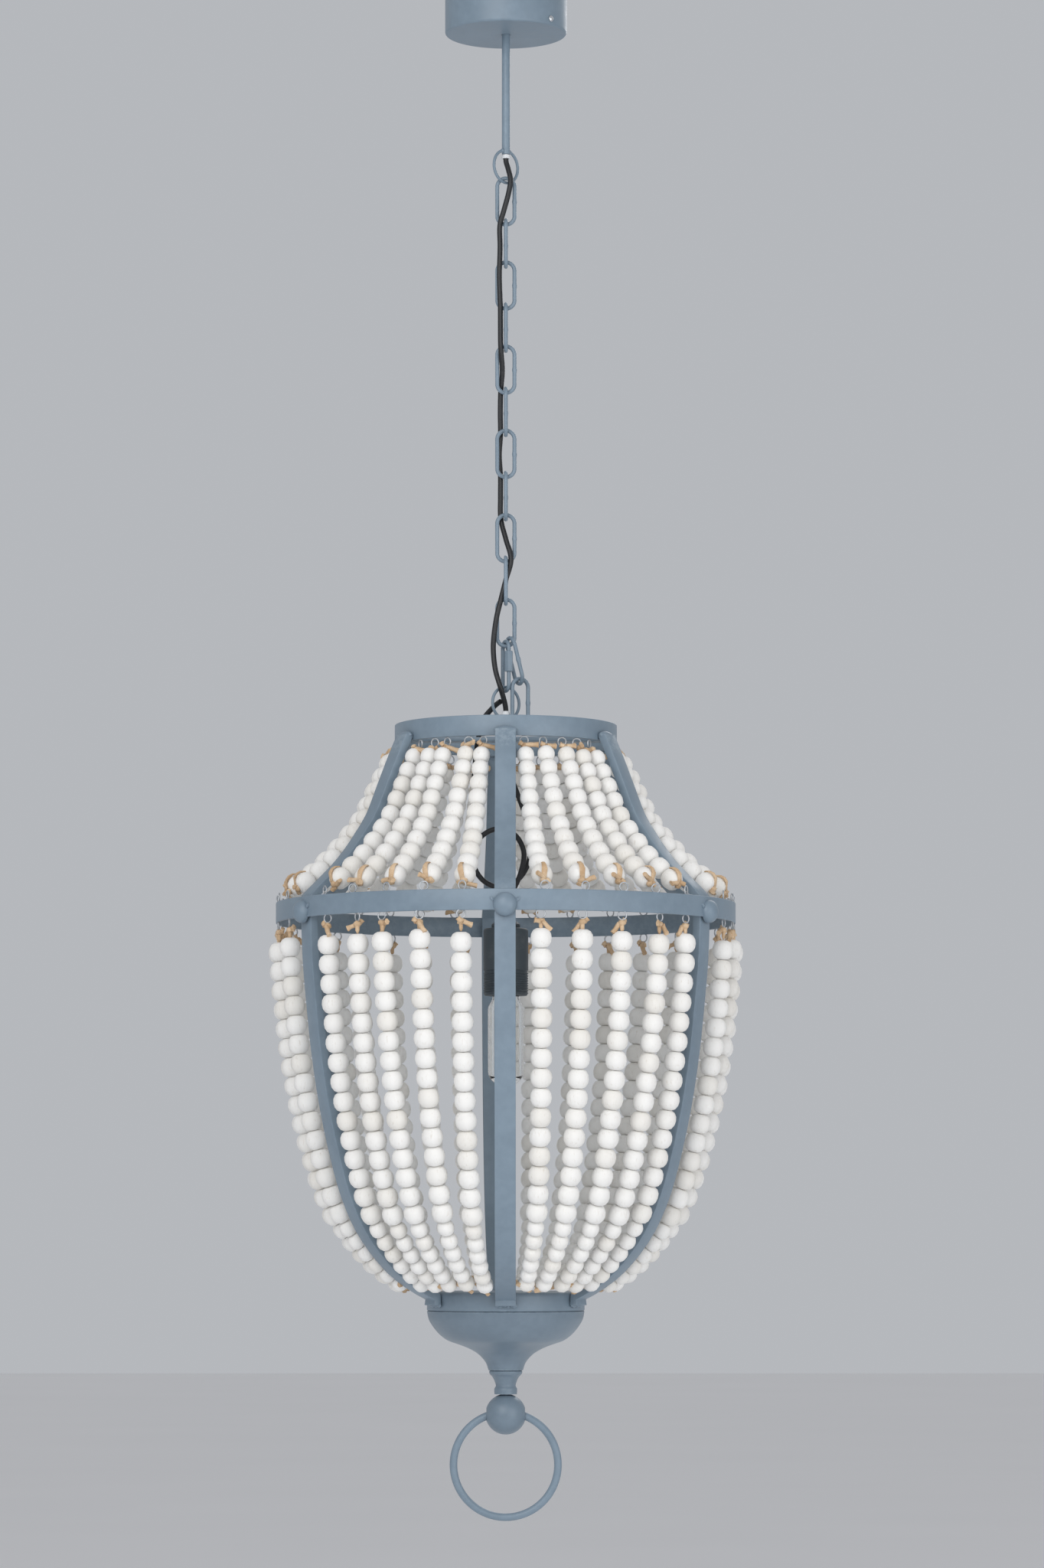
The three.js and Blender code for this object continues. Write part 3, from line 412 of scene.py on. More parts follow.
def wire_ring(name: str, radius: float, wire: float, steps: int = 56, sides: int = 14) -> Piece:
    """A round wire bent into a circle in the XZ plane, round the origin.

    Args:
        name: The piece's name.
        radius: Radius of the wire's middle line.
        wire: Thickness of the wire.
        steps: Steps round the circle.
        sides: Sides of the wire.

    Returns:
        The ring.
    """
    deselect()
    bpy.ops.mesh.primitive_torus_add(
        major_segments=steps, minor_segments=sides, major_radius=radius, minor_radius=wire / 2,
        rotation=(math.pi / 2, 0, 0), location=(0, 0, 0),
    )
    return placed(named(name), Matrix.Identity(4))


def wire_oval(name: str, arc_radius: float, half_straight: float, wire: float) -> Piece:
    """A round wire bent into a link with straight sides, in the XZ plane round the origin.

    Args:
        name: The piece's name.
        arc_radius: Radius of the ends, at the wire's middle.
        half_straight: Half the length of a straight side.
        wire: Thickness of the wire.

    Returns:
        The link.
    """
    link = wire_ring(name, arc_radius, wire)
    with editing(link):
        pick(link, lambda place: place.z > -0.01 * MM)
        move_selected(0, 0, half_straight)
        pick(link, lambda place: place.z < 0.01 * MM)
        move_selected(0, 0, -half_straight)
        pick(link, lambda place: abs(place.z) < half_straight * 0.5, Parts.EDGES)
        bpy.ops.mesh.subdivide(number_cuts=9)
    return link


def rod(radius: float, length: float, sides: int) -> Piece:
    """A straight rod from the origin along +Z, left open in edit mode.

    Args:
        radius: Its radius.
        length: Its length.
        sides: How many sides it has.

    Returns:
        The rod.
    """
    deselect()
    bpy.ops.mesh.primitive_cylinder_add(
        vertices=sides, radius=radius, depth=length, location=(0, 0, 0), enter_editmode=True,
    )
    pick_all()
    move_selected(0, 0, length / 2)
    return active()


def lump(
    name: str, size: Place, rough: float, seed: int, centre: Place | Vector = (0, 0, 0),
) -> Piece:
    """A small uneven blob, such as a weld bead under paint.

    Args:
        name: The piece's name.
        size: Its widths along X, Y and Z.
        rough: How far its surface is pushed about.
        seed: Chooses the unevenness.
        centre: Its middle.

    Returns:
        The blob.
    """
    deselect()
    bpy.ops.mesh.primitive_ico_sphere_add(
        subdivisions=3, radius=0.5, location=(0, 0, 0), enter_editmode=True,
    )
    scale_selected(*size)
    pick_all()
    bpy.ops.transform.vertex_random(offset=rough, uniform=0.4, normal=0.8, seed=seed)
    bpy.ops.mesh.vertices_smooth(factor=0.6, repeat=2)
    leave_edit_mode()
    blob = named(name)
    blob.data.transform(Matrix.Translation(centre))
    return blob


def rounded_node(node: str, name: str, width: float, segments: int = 2) -> Piece:
    """A copy of a solid with its corners merged and its sharp edges rounded.

    Args:
        node: The solid.
        name: The copy's name.
        width: Width of the rounding.
        segments: Steps across it.

    Returns:
        The copy.
    """
    copy = frame["nodes"][node].copy()
    copy.data = copy.data.copy()
    copy.parent = None
    for key in list(copy.keys()):
        del copy[key]
    into_scene(copy)
    copy.data.materials.clear()
    take(copy)
    named(name)
    with editing(copy):
        pick_all()
        bpy.ops.mesh.remove_doubles(threshold=0.02 * MM)
        bpy.ops.mesh.dissolve_limited(angle_limit=math.radians(1))
    return smoothed(bevelled(copy, width, segments))


def outwards(azimuth: float) -> Vector:
    """A level unit vector at an azimuth in degrees, turned from the front towards +X."""
    return Vector((math.sin(math.radians(azimuth)), -math.cos(math.radians(azimuth)), 0))


def about_axis(azimuth: float) -> Matrix:
    """The turn that brings what was modelled towards +X to an azimuth."""
    return rotation(azimuth - 90)


class Course:
    """A smooth run through points, that can be asked for a place at a length along it."""

    SAMPLES = 16

    def __init__(self, points: Sequence[Vector]) -> None:
        """Samples a centripetal curve through the points.

        Args:
            points: At least two points.
        """
        padded = [2 * points[0] - points[1], *points, 2 * points[-1] - points[-2]]
        self.places: list[Vector] = []
        for a, b, c, d in zip(padded, padded[1:], padded[2:], padded[3:], strict=False):
            before, span, after = ((q - p).length ** 0.5 for p, q in ((a, b), (b, c), (c, d)))
            leave = ((b - a) / before - (c - a) / (before + span) + (c - b) / span) * span
            arrive = ((c - b) / span - (d - b) / (span + after) + (d - c) / after) * span
            for i in range(self.SAMPLES):
                t = i / self.SAMPLES
                self.places.append(
                    b + leave * t
                    + (3 * (c - b) - 2 * leave - arrive) * t ** 2
                    + (2 * (b - c) + leave + arrive) * t ** 3
                )
        self.places.append(points[-1].copy())
        self.stops = [0.0]
        for before_place, after_place in pairwise(self.places):
            self.stops.append(self.stops[-1] + (after_place - before_place).length)

    @property
    def length(self) -> float:
        """The length of the whole run."""
        return self.stops[-1]

    def place(self, along: float) -> Vector:
        """The point at a length along the run.

        Args:
            along: Length from the start.

        Returns:
            The point.
        """
        along = min(max(along, 0.0), self.length)
        index = max(i for i, stop in enumerate(self.stops[:-1]) if stop <= along)
        share = (along - self.stops[index]) / (self.stops[index + 1] - self.stops[index])
        return self.places[index].lerp(self.places[index + 1], share)

    def heading(self, along: float) -> Vector:
        """The unit direction at a length along the run."""
        reach = self.length / 200
        return (self.place(along + reach) - self.place(along - reach)).normalized()

    def spaced(self, count: int) -> list[Vector]:
        """Points an equal length apart, the ends among them."""
        return [self.place(self.length * i / count) for i in range(count + 1)]


@dataclass(frozen=True)
class Extent:
    """The height and the half widths of a solid."""

    bottom: float
    top: float
    radius: float

    @classmethod
    def of(cls, node: str) -> "Extent":
        """Reads a solid's extent from the frame."""
        low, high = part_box(node)
        return cls(low.z, high.z, max(high.x, high.y, -low.x, -low.y))

    @property
    def middle(self) -> float:
        """The height halfway up the solid."""
        return (self.bottom + self.top) / 2


# Finishes


class Value:
    """A number that a node gives, which takes part in arithmetic by adding Math nodes."""

    def __init__(self, nodes: "Nodes", socket: Socket) -> None:
        """Wraps a node's output."""
        self.nodes = nodes
        self.socket = socket

    def maths(self, operation: str, *values: "Value | float") -> "Value":
        """The outcome of a Math node on some values."""
        inputs = dict(enumerate(values))
        return self.nodes.value("ShaderNodeMath", {"operation": operation}, inputs)

    def __add__(self, other: "Value | float") -> "Value":
        """Sum of this and another value."""
        return self.maths("ADD", self, other)

    def __sub__(self, other: "Value | float") -> "Value":
        """This value less another."""
        return self.maths("SUBTRACT", self, other)

    def __rsub__(self, other: float) -> "Value":
        """A number less this value."""
        return self.maths("SUBTRACT", other, self)

    def __mul__(self, other: "Value | float") -> "Value":
        """Product of this and another value."""
        return self.maths("MULTIPLY", self, other)

    __radd__ = __add__
    __rmul__ = __mul__

    def between(self, low: float, high: float) -> "Value":
        """0 below one number, 1 above the other, and a smooth rise from one to the other."""
        settings = {"interpolation_type": "SMOOTHSTEP"}
        inputs = {"Value": self, "From Min": low, "From Max": high}
        return self.nodes.value("ShaderNodeMapRange", settings, inputs)


Input = Value | Socket | float | tuple[float, ...]
Inputs = Mapping[str | int, Input]


class Nodes:
    """The node tree of a material or of the world."""

    def __init__(self, owner: bpy.types.Material | bpy.types.World) -> None:
        """Starts with an empty tree."""
        owner.use_nodes = True
        self.tree = owner.node_tree
        self.tree.nodes.clear()

    def node(
        self, kind: str, settings: Mapping[str, Any] | None = None,
        inputs: Inputs | None = None,
    ) -> bpy.types.Node:
        """Adds a node.

        Args:
            kind: The node's type.
            settings: Its properties.
            inputs: Values or links for its sockets, by name or place.

        Returns:
            The node.
        """
        made = self.tree.nodes.new(kind)
        for key, value in (settings or {}).items():
            setattr(made, key, value)
        for key, value in (inputs or {}).items():
            if isinstance(value, Value):
                self.tree.links.new(value.socket, made.inputs[key])
            elif isinstance(value, Socket):
                self.tree.links.new(value, made.inputs[key])
            else:
                made.inputs[key].default_value = value
        return made

    def value(self, kind: str, settings: Mapping[str, Any], inputs: Inputs) -> Value:
        """The first output of a new node, as a value."""
        return Value(self, self.node(kind, settings, inputs).outputs[0])

    def blend(self, share: Value | float, first: Input, second: Input) -> Socket:
        """Mixes two colours."""
        inputs = {0: share, 6: self.opaque(first), 7: self.opaque(second)}
        return self.node("ShaderNodeMix", {"data_type": "RGBA"}, inputs).outputs[2]

    @staticmethod
    def opaque(colour: Input) -> Input:
        """A colour with its alpha, or a link as it is."""
        return (*colour, 1) if isinstance(colour, tuple) and len(colour) == 3 else colour


class Shader(Nodes):
    """The node tree of one material."""

    def __init__(self, name: str) -> None:
        """Starts a material with an empty tree."""
        self.material = bpy.data.materials.new(name)
        super().__init__(self.material)

    def here(self, output: str = "Object") -> Socket:
        """The place on the surface, in the object's metres or on its own map."""
        return self.node("ShaderNodeTexCoord").outputs[output]

    def stretched(self, place: Socket, scale: Sequence[float]) -> Socket:
        """A place with its axes scaled apart, so that a pattern on it runs one way."""
        inputs = {"Vector": place, "Scale": tuple(scale)}
        return self.node("ShaderNodeMapping", {}, inputs).outputs[0]

    def noise(
        self, size: float, place: Socket | None = None, detail: float = 3,
        roughness: float = 0.5,
    ) -> Value:
        """Even noise from 0 to 1.

        Args:
            size: Width of its patches, in metres where it lies on the object's coordinates.
            place: Where it is read, the object's coordinates if none is given.
            detail: How many finer layers it has.
            roughness: How strong these are.

        Returns:
            The noise, about 0.5 in the mean.
        """
        place = place or self.here()
        inputs = {"Vector": place, "Scale": 1 / size, "Detail": detail, "Roughness": roughness}
        return self.value("ShaderNodeTexNoise", {}, inputs)

    def bump(
        self, height: Value, depth: float, strength: float = 1, under: Socket | None = None,
    ) -> Socket:
        """The normal of a surface that rises with a value, by a depth in metres.

        Args:
            height: The value, from 0 to 1.
            depth: How far the surface rises.
            strength: How much of that shows.
            under: A normal that it adds to.

        Returns:
            The normal.
        """
        inputs: dict[str | int, Input] = {"Height": height, "Distance": depth, "Strength": strength}
        if under is not None:
            inputs["Normal"] = under
        return self.node("ShaderNodeBump", {}, inputs).outputs[0]

    def finish(self, inputs: Inputs) -> bpy.types.Material:
        """Ends the tree in one surface shader with these inputs."""
        surface = self.node("ShaderNodeBsdfPrincipled", {}, inputs)
        self.node("ShaderNodeOutputMaterial", {}, {"Surface": surface.outputs[0]})
        return self.material


@dataclass(frozen=True)
class Paint:
    """Satin paint over steel or turned wood, with a faint orange peel and paler worn edges."""

    name: str = "satin_blue_grey_paint"
    slot: str = "blue_grey_paint"
    colour: Colour = (0.194, 0.259, 0.322)
    shade: Colour = (0.167, 0.225, 0.281)
    worn: Colour = (0.275, 0.342, 0.400)
    roughness: float = 0.42
    peel: float = 1.6 * MM
    turning: float = 0.0

    def material(self) -> bpy.types.Material:
        """Builds the material.

        Returns:
            The material.
        """
        shader = Shader(self.name)
        cloud = shader.noise(70 * MM, detail=4)
        mottle = shader.noise(9 * MM, detail=3)
        tone = (cloud * 0.6 + mottle * 0.4).between(0.36, 0.66)
        base = shader.blend(tone, self.shade, self.colour)
        edge = Value(shader, shader.node("ShaderNodeNewGeometry").outputs["Pointiness"])
        rubbed = shader.noise(5 * MM, detail=5, roughness=0.7)
        wear = edge.between(0.515, 0.60) * rubbed.between(0.40, 0.62) * 0.55
        base = shader.blend(wear, base, self.worn)
        peel = shader.noise(self.peel, detail=2)
        normal = shader.bump(peel, 0.05 * MM, 0.5)
        if self.turning:
            along = shader.stretched(shader.here(), (6, 6, 1 / self.turning))
            rings = shader.noise(1, along, detail=2)
            normal = shader.bump(rings, 0.12 * MM, 0.6, normal)
        return shader.finish({
            "Base Color": base,
            "Roughness": self.roughness + (mottle - 0.5) * 0.22,
            "Metallic": 0.0,
            "Specular IOR Level": 0.5,
            "Normal": normal,
        })


@dataclass(frozen=True)
class Whitewash:
    """Matt whitewash over turned beads. Each has its own tone, and the grain shows through."""

    name: str = "whitewashed_wood"
    slot: str = "whitewashed_beads"
    white: Colour = (0.840, 0.833, 0.812)
    cream: Colour = (0.760, 0.730, 0.670)
    grain: Colour = (0.560, 0.500, 0.420)
    bare: Colour = (0.360, 0.270, 0.190)

    def material(self) -> bpy.types.Material:
        """Builds the material.

        Returns:
            The material.
        """
        shader = Shader(self.name)
        own = shader.node("ShaderNodeAttribute", {"attribute_name": "tone"})
        tone = Value(shader, own.outputs["Fac"])
        chart = shader.here("UV")
        halves = shader.node("ShaderNodeSeparateXYZ", {}, {"Vector": chart})
        height = Value(shader, halves.outputs[1])
        ends = height.between(0.93, 0.985) + (1 - height).between(0.93, 0.985)
        place = shader.here()
        streaks = shader.noise(1, shader.stretched(place, (700, 700, 120)), detail=3, roughness=0.6)
        patches = shader.noise(7 * MM, place, detail=4, roughness=0.6)
        base = shader.blend(tone.between(0.5, 1.0) * 0.55, self.white, self.cream)
        bare_grain = streaks.between(0.52, 0.74) * patches.between(0.42, 0.62) * 0.45
        base = shader.blend(bare_grain, base, self.grain)
        base = shader.blend(ends * 0.8, base, self.bare)
        chalk = shader.noise(0.9 * MM, place, detail=4, roughness=0.65)
        normal = shader.bump(chalk * 0.6 + streaks * 0.4, 0.10 * MM, 0.55)
        return shader.finish({
            "Base Color": base,
            "Roughness": 0.72 + patches * 0.16,
            "Specular IOR Level": 0.35,
            "Normal": normal,
        })


@dataclass(frozen=True)
class Jute:
    """Tan jute string with loose fibres."""

    name: str = "jute_string"
    slot: str = ""
    light: Colour = (0.760, 0.590, 0.410)
    dark: Colour = (0.500, 0.330, 0.190)

    def material(self) -> bpy.types.Material:
        """Builds the material.

        Returns:
            The material.
        """
        shader = Shader(self.name)
        fibres = shader.noise(0.45 * MM, detail=4, roughness=0.7)
        soaked = shader.noise(11 * MM, detail=2)
        tone = (fibres * 0.7 + soaked * 0.5).between(0.42, 0.80)
        base = shader.blend(tone, self.dark, self.light)
        return shader.finish({
            "Base Color": base,
            "Roughness": 0.86 + fibres * 0.12,
            "Specular IOR Level": 0.2,
            "Normal": shader.bump(fibres, 0.35 * MM, 0.9),
        })


@dataclass(frozen=True)
class Metal:
    """Bare zinc plated or drawn metal, with fine scratches and dull patches."""

    name: str
    slot: str
    colour: Colour
    dull: Colour
    roughness: float

    def material(self) -> bpy.types.Material:
        """Builds the material.

        Returns:
            The material.
        """
        shader = Shader(self.name)
        patches = shader.noise(4 * MM, detail=4, roughness=0.6)
        scratches = shader.noise(1, shader.stretched(shader.here(), (2400, 2400, 180)), detail=2)
        return shader.finish({
            "Base Color": shader.blend(patches.between(0.40, 0.68), self.colour, self.dull),
            "Metallic": 0.92,
            "Roughness": self.roughness + patches * 0.16 + (scratches - 0.5) * 0.10,
            "Normal": shader.bump(scratches, 0.02 * MM, 0.4),
        })


@dataclass(frozen=True)
class Moulded:
    """Moulded or extruded plastic, with a fine grain and a little dust."""

    name: str
    slot: str
    colour: Colour
    dust: Colour
    roughness: float
    grain: float = 0.7 * MM

    def material(self) -> bpy.types.Material:
        """Builds the material.

        Returns:
            The material.
        """
        shader = Shader(self.name)
        settled = shader.noise(14 * MM, detail=5, roughness=0.65).between(0.50, 0.78)
        grain = shader.noise(self.grain, detail=2)
        return shader.finish({
            "Base Color": shader.blend(settled * 0.35, self.colour, self.dust),
            "Roughness": self.roughness + settled * 0.18 + (grain - 0.5) * 0.08,
            "Specular IOR Level": 0.45,
            "Normal": shader.bump(grain, 0.03 * MM, 0.5),
        })


@dataclass(frozen=True)
class ClearGlass:
    """Clear glass with faint smears."""

    name: str = "clear_lamp_glass"
    slot: str = "clear_glass"
    colour: Colour = (0.97, 0.98, 0.98)

    def material(self) -> bpy.types.Material:
        """Builds the material.

        Returns:
            The material.
        """
        shader = Shader(self.name)
        smears = shader.noise(12 * MM, detail=4, roughness=0.6).between(0.48, 0.72)
        return shader.finish({
            "Base Color": shader.blend(smears * 0.3, self.colour, (0.90, 0.92, 0.92)),
            "Transmission Weight": 1.0,
            "IOR": 1.46,
            "Roughness": smears * 0.07,
        })


@dataclass(frozen=True)
class StudioFloor:
    """A pale matt floor, nearly even in tone."""

    name: str = "studio_floor"
    colour: Colour = (0.93, 0.945, 0.97)
    cloudy: Colour = (0.90, 0.915, 0.94)

    def material(self) -> bpy.types.Material:
        """Builds the material.

        Returns:
            The material.
        """
        shader = Shader(self.name)
        cloud = shader.noise(0.7, detail=3)
        return shader.finish({
            "Base Color": shader.blend(cloud, self.cloudy, self.colour),
            "Roughness": 0.85,
            "Specular IOR Level": 0.2,
        })


Finish = Paint | Whitewash | Jute | Metal | Moulded | ClearGlass


@dataclass(frozen=True)
class Dressing:
    """A material that has been built, with a slot name for it, or none."""

    material: bpy.types.Material
    slot: str

    @classmethod
    def of(cls, finish: Finish) -> "Dressing":
        """Builds a finish's material."""
        return cls(finish.material(), finish.slot)


class Finishes:
    """Every material of the chandelier, made once."""

    def __init__(self) -> None:
        """Builds the materials."""
        self.paint = Dressing.of(Paint())
        # Painted shade: the paint on the turned wood is set darker than the steel's paint, to stand
        # in for the shade on the downward-facing bowl, collar and ball.
        self.wood_paint_with_painted_shade = Dressing.of(Paint(
            "satin_paint_on_turned_wood_with_painted_shade", "painted_turned_wood", colour=(0.170, 0.226, 0.280),
            shade=(0.144, 0.194, 0.243), roughness=0.40, peel=2.4 * MM, turning=1.6 * MM,
        ))
        self.beads = Dressing.of(Whitewash())
        self.jute = Dressing.of(Jute())
        self.zinc = Dressing.of(Metal(
            "zinc_plated_steel", "zinc_steel", (0.62, 0.64, 0.66), (0.42, 0.44, 0.46), 0.26,
        ))
        self.eye_wire = Dressing.of(Metal(
            "galvanised_wire", "zinc_steel", (0.58, 0.60, 0.62), (0.42, 0.45, 0.48), 0.5,
        ))
        self.filament = Dressing.of(Metal(
            "tungsten_wire", "", (0.30, 0.28, 0.26), (0.18, 0.17, 0.16), 0.40,
        ))
        self.cable = Dressing.of(Moulded(
            "black_cable_sheath", "black_cable", (0.010, 0.011, 0.013), (0.055, 0.055, 0.058), 0.40,
        ))
        self.white_plastic = Dressing.of(Moulded(
            "white_bushing_plastic", "white_bushing", (0.72, 0.74, 0.76), (0.52, 0.52, 0.50), 0.42,
        ))
        self.dark_plastic = Dressing.of(Moulded(
            "dark_holder_plastic", "dark_holder", (0.050, 0.065, 0.076), (0.16, 0.17, 0.175), 0.46,
        ))
        self.glass = Dressing.of(ClearGlass())
        self.floor = StudioFloor().material()


def finished(
    piece: Piece, dressing: Dressing, body: str, nodes: Sequence[str] = (),
) -> Piece:
    """Dresses a piece, lets it ride on a body, and reports it.

    Args:
        piece: The finished piece.
        dressing: Its material and slot.
        body: The body it moves with, or none where it is blended between two.
        nodes: The solids it stands for.

    Returns:
        The piece.
    """
    piece.data.materials.clear()
    piece.data.materials.append(dressing.material)
    if body:
        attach(piece, body)
    if nodes:
        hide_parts(*nodes)
    standing_for = f" for {', '.join(nodes)}" if nodes else ""
    log.info("%s rides on %s%s", piece.name, body or "two bodies", standing_for)
    return piece


# Sub-assemblies


@dataclass
class CeilingFixing:
    """The bracket, the canopy with its two screws, and the stem with its loop."""

    finishes: Finishes
    body: str = "ceiling_fixing"
    canopy_wall: float = 1.6 * MM
    canopy_edge: float = 2.5 * MM
    canopy_hole: float = 4.3 * MM
    hole_edge: float = 0.3 * MM
    screw_azimuths: Pair = (47, 227)
    screw_head: float = 3.0 * MM
    screw_rise: float = 2.0 * MM
    screw_brim: float = 0.5 * MM
    screw_shank: float = 1.5 * MM
    screw_length: float = 9.0 * MM
    screw_tip: float = 0.8 * MM
    screw_seat: float = 0.3 * MM
    slot_edge: float = 0.25 * MM
    slot_depth: float = 0.7 * MM
    loop_turn: float = 43.5

    def build(self) -> None:
        """Models and dresses every piece of the fixing."""
        self.canopy()
        self.screws()
        self.hidden_steel()
        self.stem()

    def canopy(self) -> None:
        """The painted cup, with a rolled rim at the ceiling and a soft lower edge."""
        size = Extent.of("ceiling_canopy")
        wall, edge, radius = self.canopy_wall, self.canopy_edge, size.radius
        floor = size.bottom + wall
        outline = [
            (self.canopy_hole, size.bottom + self.hole_edge),
            (self.canopy_hole + self.hole_edge, size.bottom),
            *arc((radius - edge, size.bottom + edge), edge, -90, 0, 6),
            *arc((radius - wall / 2, size.top - wall / 2), wall / 2, 0, 180, 6),
            *arc((radius - edge, floor + edge - wall), edge - wall, 0, -90, 4),
            (self.canopy_hole, floor),
        ]
        cup = smoothed(turned("painted_canopy", outline, 96, ring=True))
        finished(cup, self.finishes.paint, self.body, ["ceiling_canopy"])

    def screws(self) -> None:
        """Two round-headed screws with a cross slot, in the canopy's wall."""
        size = Extent.of("ceiling_canopy")
        height = sum(c.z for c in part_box("canopy_screw_right")) / 2
        head, rise = self.screw_head, self.screw_rise
        shank, length = self.screw_shank, self.screw_length
        outline = [
            (0, -length), (shank * 0.6, -length), (shank, self.screw_tip - length), (shank, 0.0),
            (head - 0.2 * MM, 0.0),
            *arc((head - self.screw_brim, self.screw_brim), self.screw_brim, 0, 50, 3),
            (head * 0.60, rise * 0.85), (head * 0.28, rise), (0, rise),
        ]
        nodes = ("canopy_screw_right", "canopy_screw_left")
        for node, azimuth in zip(nodes, self.screw_azimuths, strict=True):
            screw = turned(f"{node}_turned", outline, 32)
            with editing(screw, Parts.FACES):
                pick(screw, lambda p: p.z > rise * 0.96 and p.xy.length < 0.4 * head, Parts.FACES)
                bpy.ops.mesh.inset(thickness=self.slot_edge, depth=0)
                move_selected(0, 0, -self.slot_depth)
            out = outwards(azimuth)
            facing = out.to_track_quat("Z", "Y").to_matrix().to_4x4()
            seat = out * (size.radius + self.screw_seat) + Vector((0, 0, height))
            screw.data.transform(Matrix.Translation(seat) @ facing)
            finished(smoothed(screw), self.finishes.zinc, self.body, [node])

    def hidden_steel(self) -> None:
        """The bracket and the lock nut, with rounded edges, above and inside the canopy."""
        for node, width in (("ceiling_bracket", 0.5 * MM), ("stem_lock_nut", 0.6 * MM)):
            piece = rounded_node(node, f"{node}_rounded", width)
            finished(piece, self.finishes.zinc, self.body, [node])

    def stem(self) -> None:
        """The stem tube with its white bushing and its wire loop."""
        HangingTube(self.finishes, self.body, "stem", self.loop_turn, False).build()


@dataclass
class HangingTube:
    """A painted tube on the axis, with a white bushing at its mouth and a wire loop on its sides.

    The loop hangs below the tube, or stands on it where loop_on_top is set.
    """

    finishes: Finishes
    body: str
    part: str
    loop_turn: float
    loop_on_top: bool
    radius: float = 4.0 * MM
    bore: float = 3.0 * MM
    edge: float = 0.4 * MM
    bushing_radius: float = 4.2 * MM
    bushing_edge: float = 0.5 * MM
    loop_radius: float = 17.5 * MM
    loop_wire: float = 3.0 * MM
    loop_gap: float = 4.4 * MM
    weld: Place = (3.4 * MM, 3.8 * MM, 4.6 * MM)
    weld_rough: float = 0.35 * MM
    weld_aside: float = 4.9 * MM

    def build(self) -> None:
        """Models and dresses the three pieces."""
        self.tube()
        self.bushing()
        self.loop()

    def tube(self) -> None:
        """The tube."""
        node = f"{self.part}_tube"
        size = Extent.of(node)
        outline = hollow(self.radius, self.bore, size.bottom, size.top, self.edge)
        tube = turned(f"{node}_painted", outline, 48, ring=True)
        finished(smoothed(tube), self.finishes.paint, self.body, [node])

    def bushing(self) -> None:
        """The plastic bushing, with its flange."""
        node = f"{self.part}_bushing"
        size = Extent.of(node)
        bore, radius, edge = self.bore, self.bushing_radius, self.bushing_edge
        outline = [
            (bore, size.bottom), (radius - edge, size.bottom), (radius, size.bottom + edge),
            (radius, size.middle - edge), (radius - edge, size.middle),
            (radius - edge, size.top - edge), (radius - 2 * edge, size.top), (bore, size.top),
        ]
        sleeve = bevelled(turned(f"{node}_moulded", outline, 40, ring=True), 0.15 * MM)
        finished(smoothed(sleeve), self.finishes.white_plastic, self.body, [node])

    def loop(self) -> None:
        """The wire loop, open at the tube, with a bead of weld where each end meets it."""
        node = f"{self.part}_loop"
        size = Extent.of(node)
        radius = self.loop_radius - self.loop_wire / 2
        centre = size.top - self.loop_radius if self.loop_on_top else size.bottom + self.loop_radius
        loop = wire_ring(f"{node}_wire", radius, self.loop_wire)
        with editing(loop):
            pick(loop, lambda p: p.z > 0 and abs(p.x) < self.loop_gap)
            bpy.ops.mesh.delete(type="VERT")
            close_holes()
        welds = []
        for side in (-1, 1):
            seat = (side * self.weld_aside, 0, math.sqrt(radius ** 2 - self.weld_aside ** 2))
            welds.append(lump(f"{node}_weld", self.weld, self.weld_rough, 3 + side, seat))
        loop = joined(f"{node}_wire", [loop, *welds])
        flip = rotation(180, "Y") if self.loop_on_top else Matrix.Identity(4)
        loop.data.transform(shift(0, 0, centre) @ rotation(self.loop_turn) @ flip)
        finished(smoothed(loop, 50), self.finishes.paint, self.body, [node])


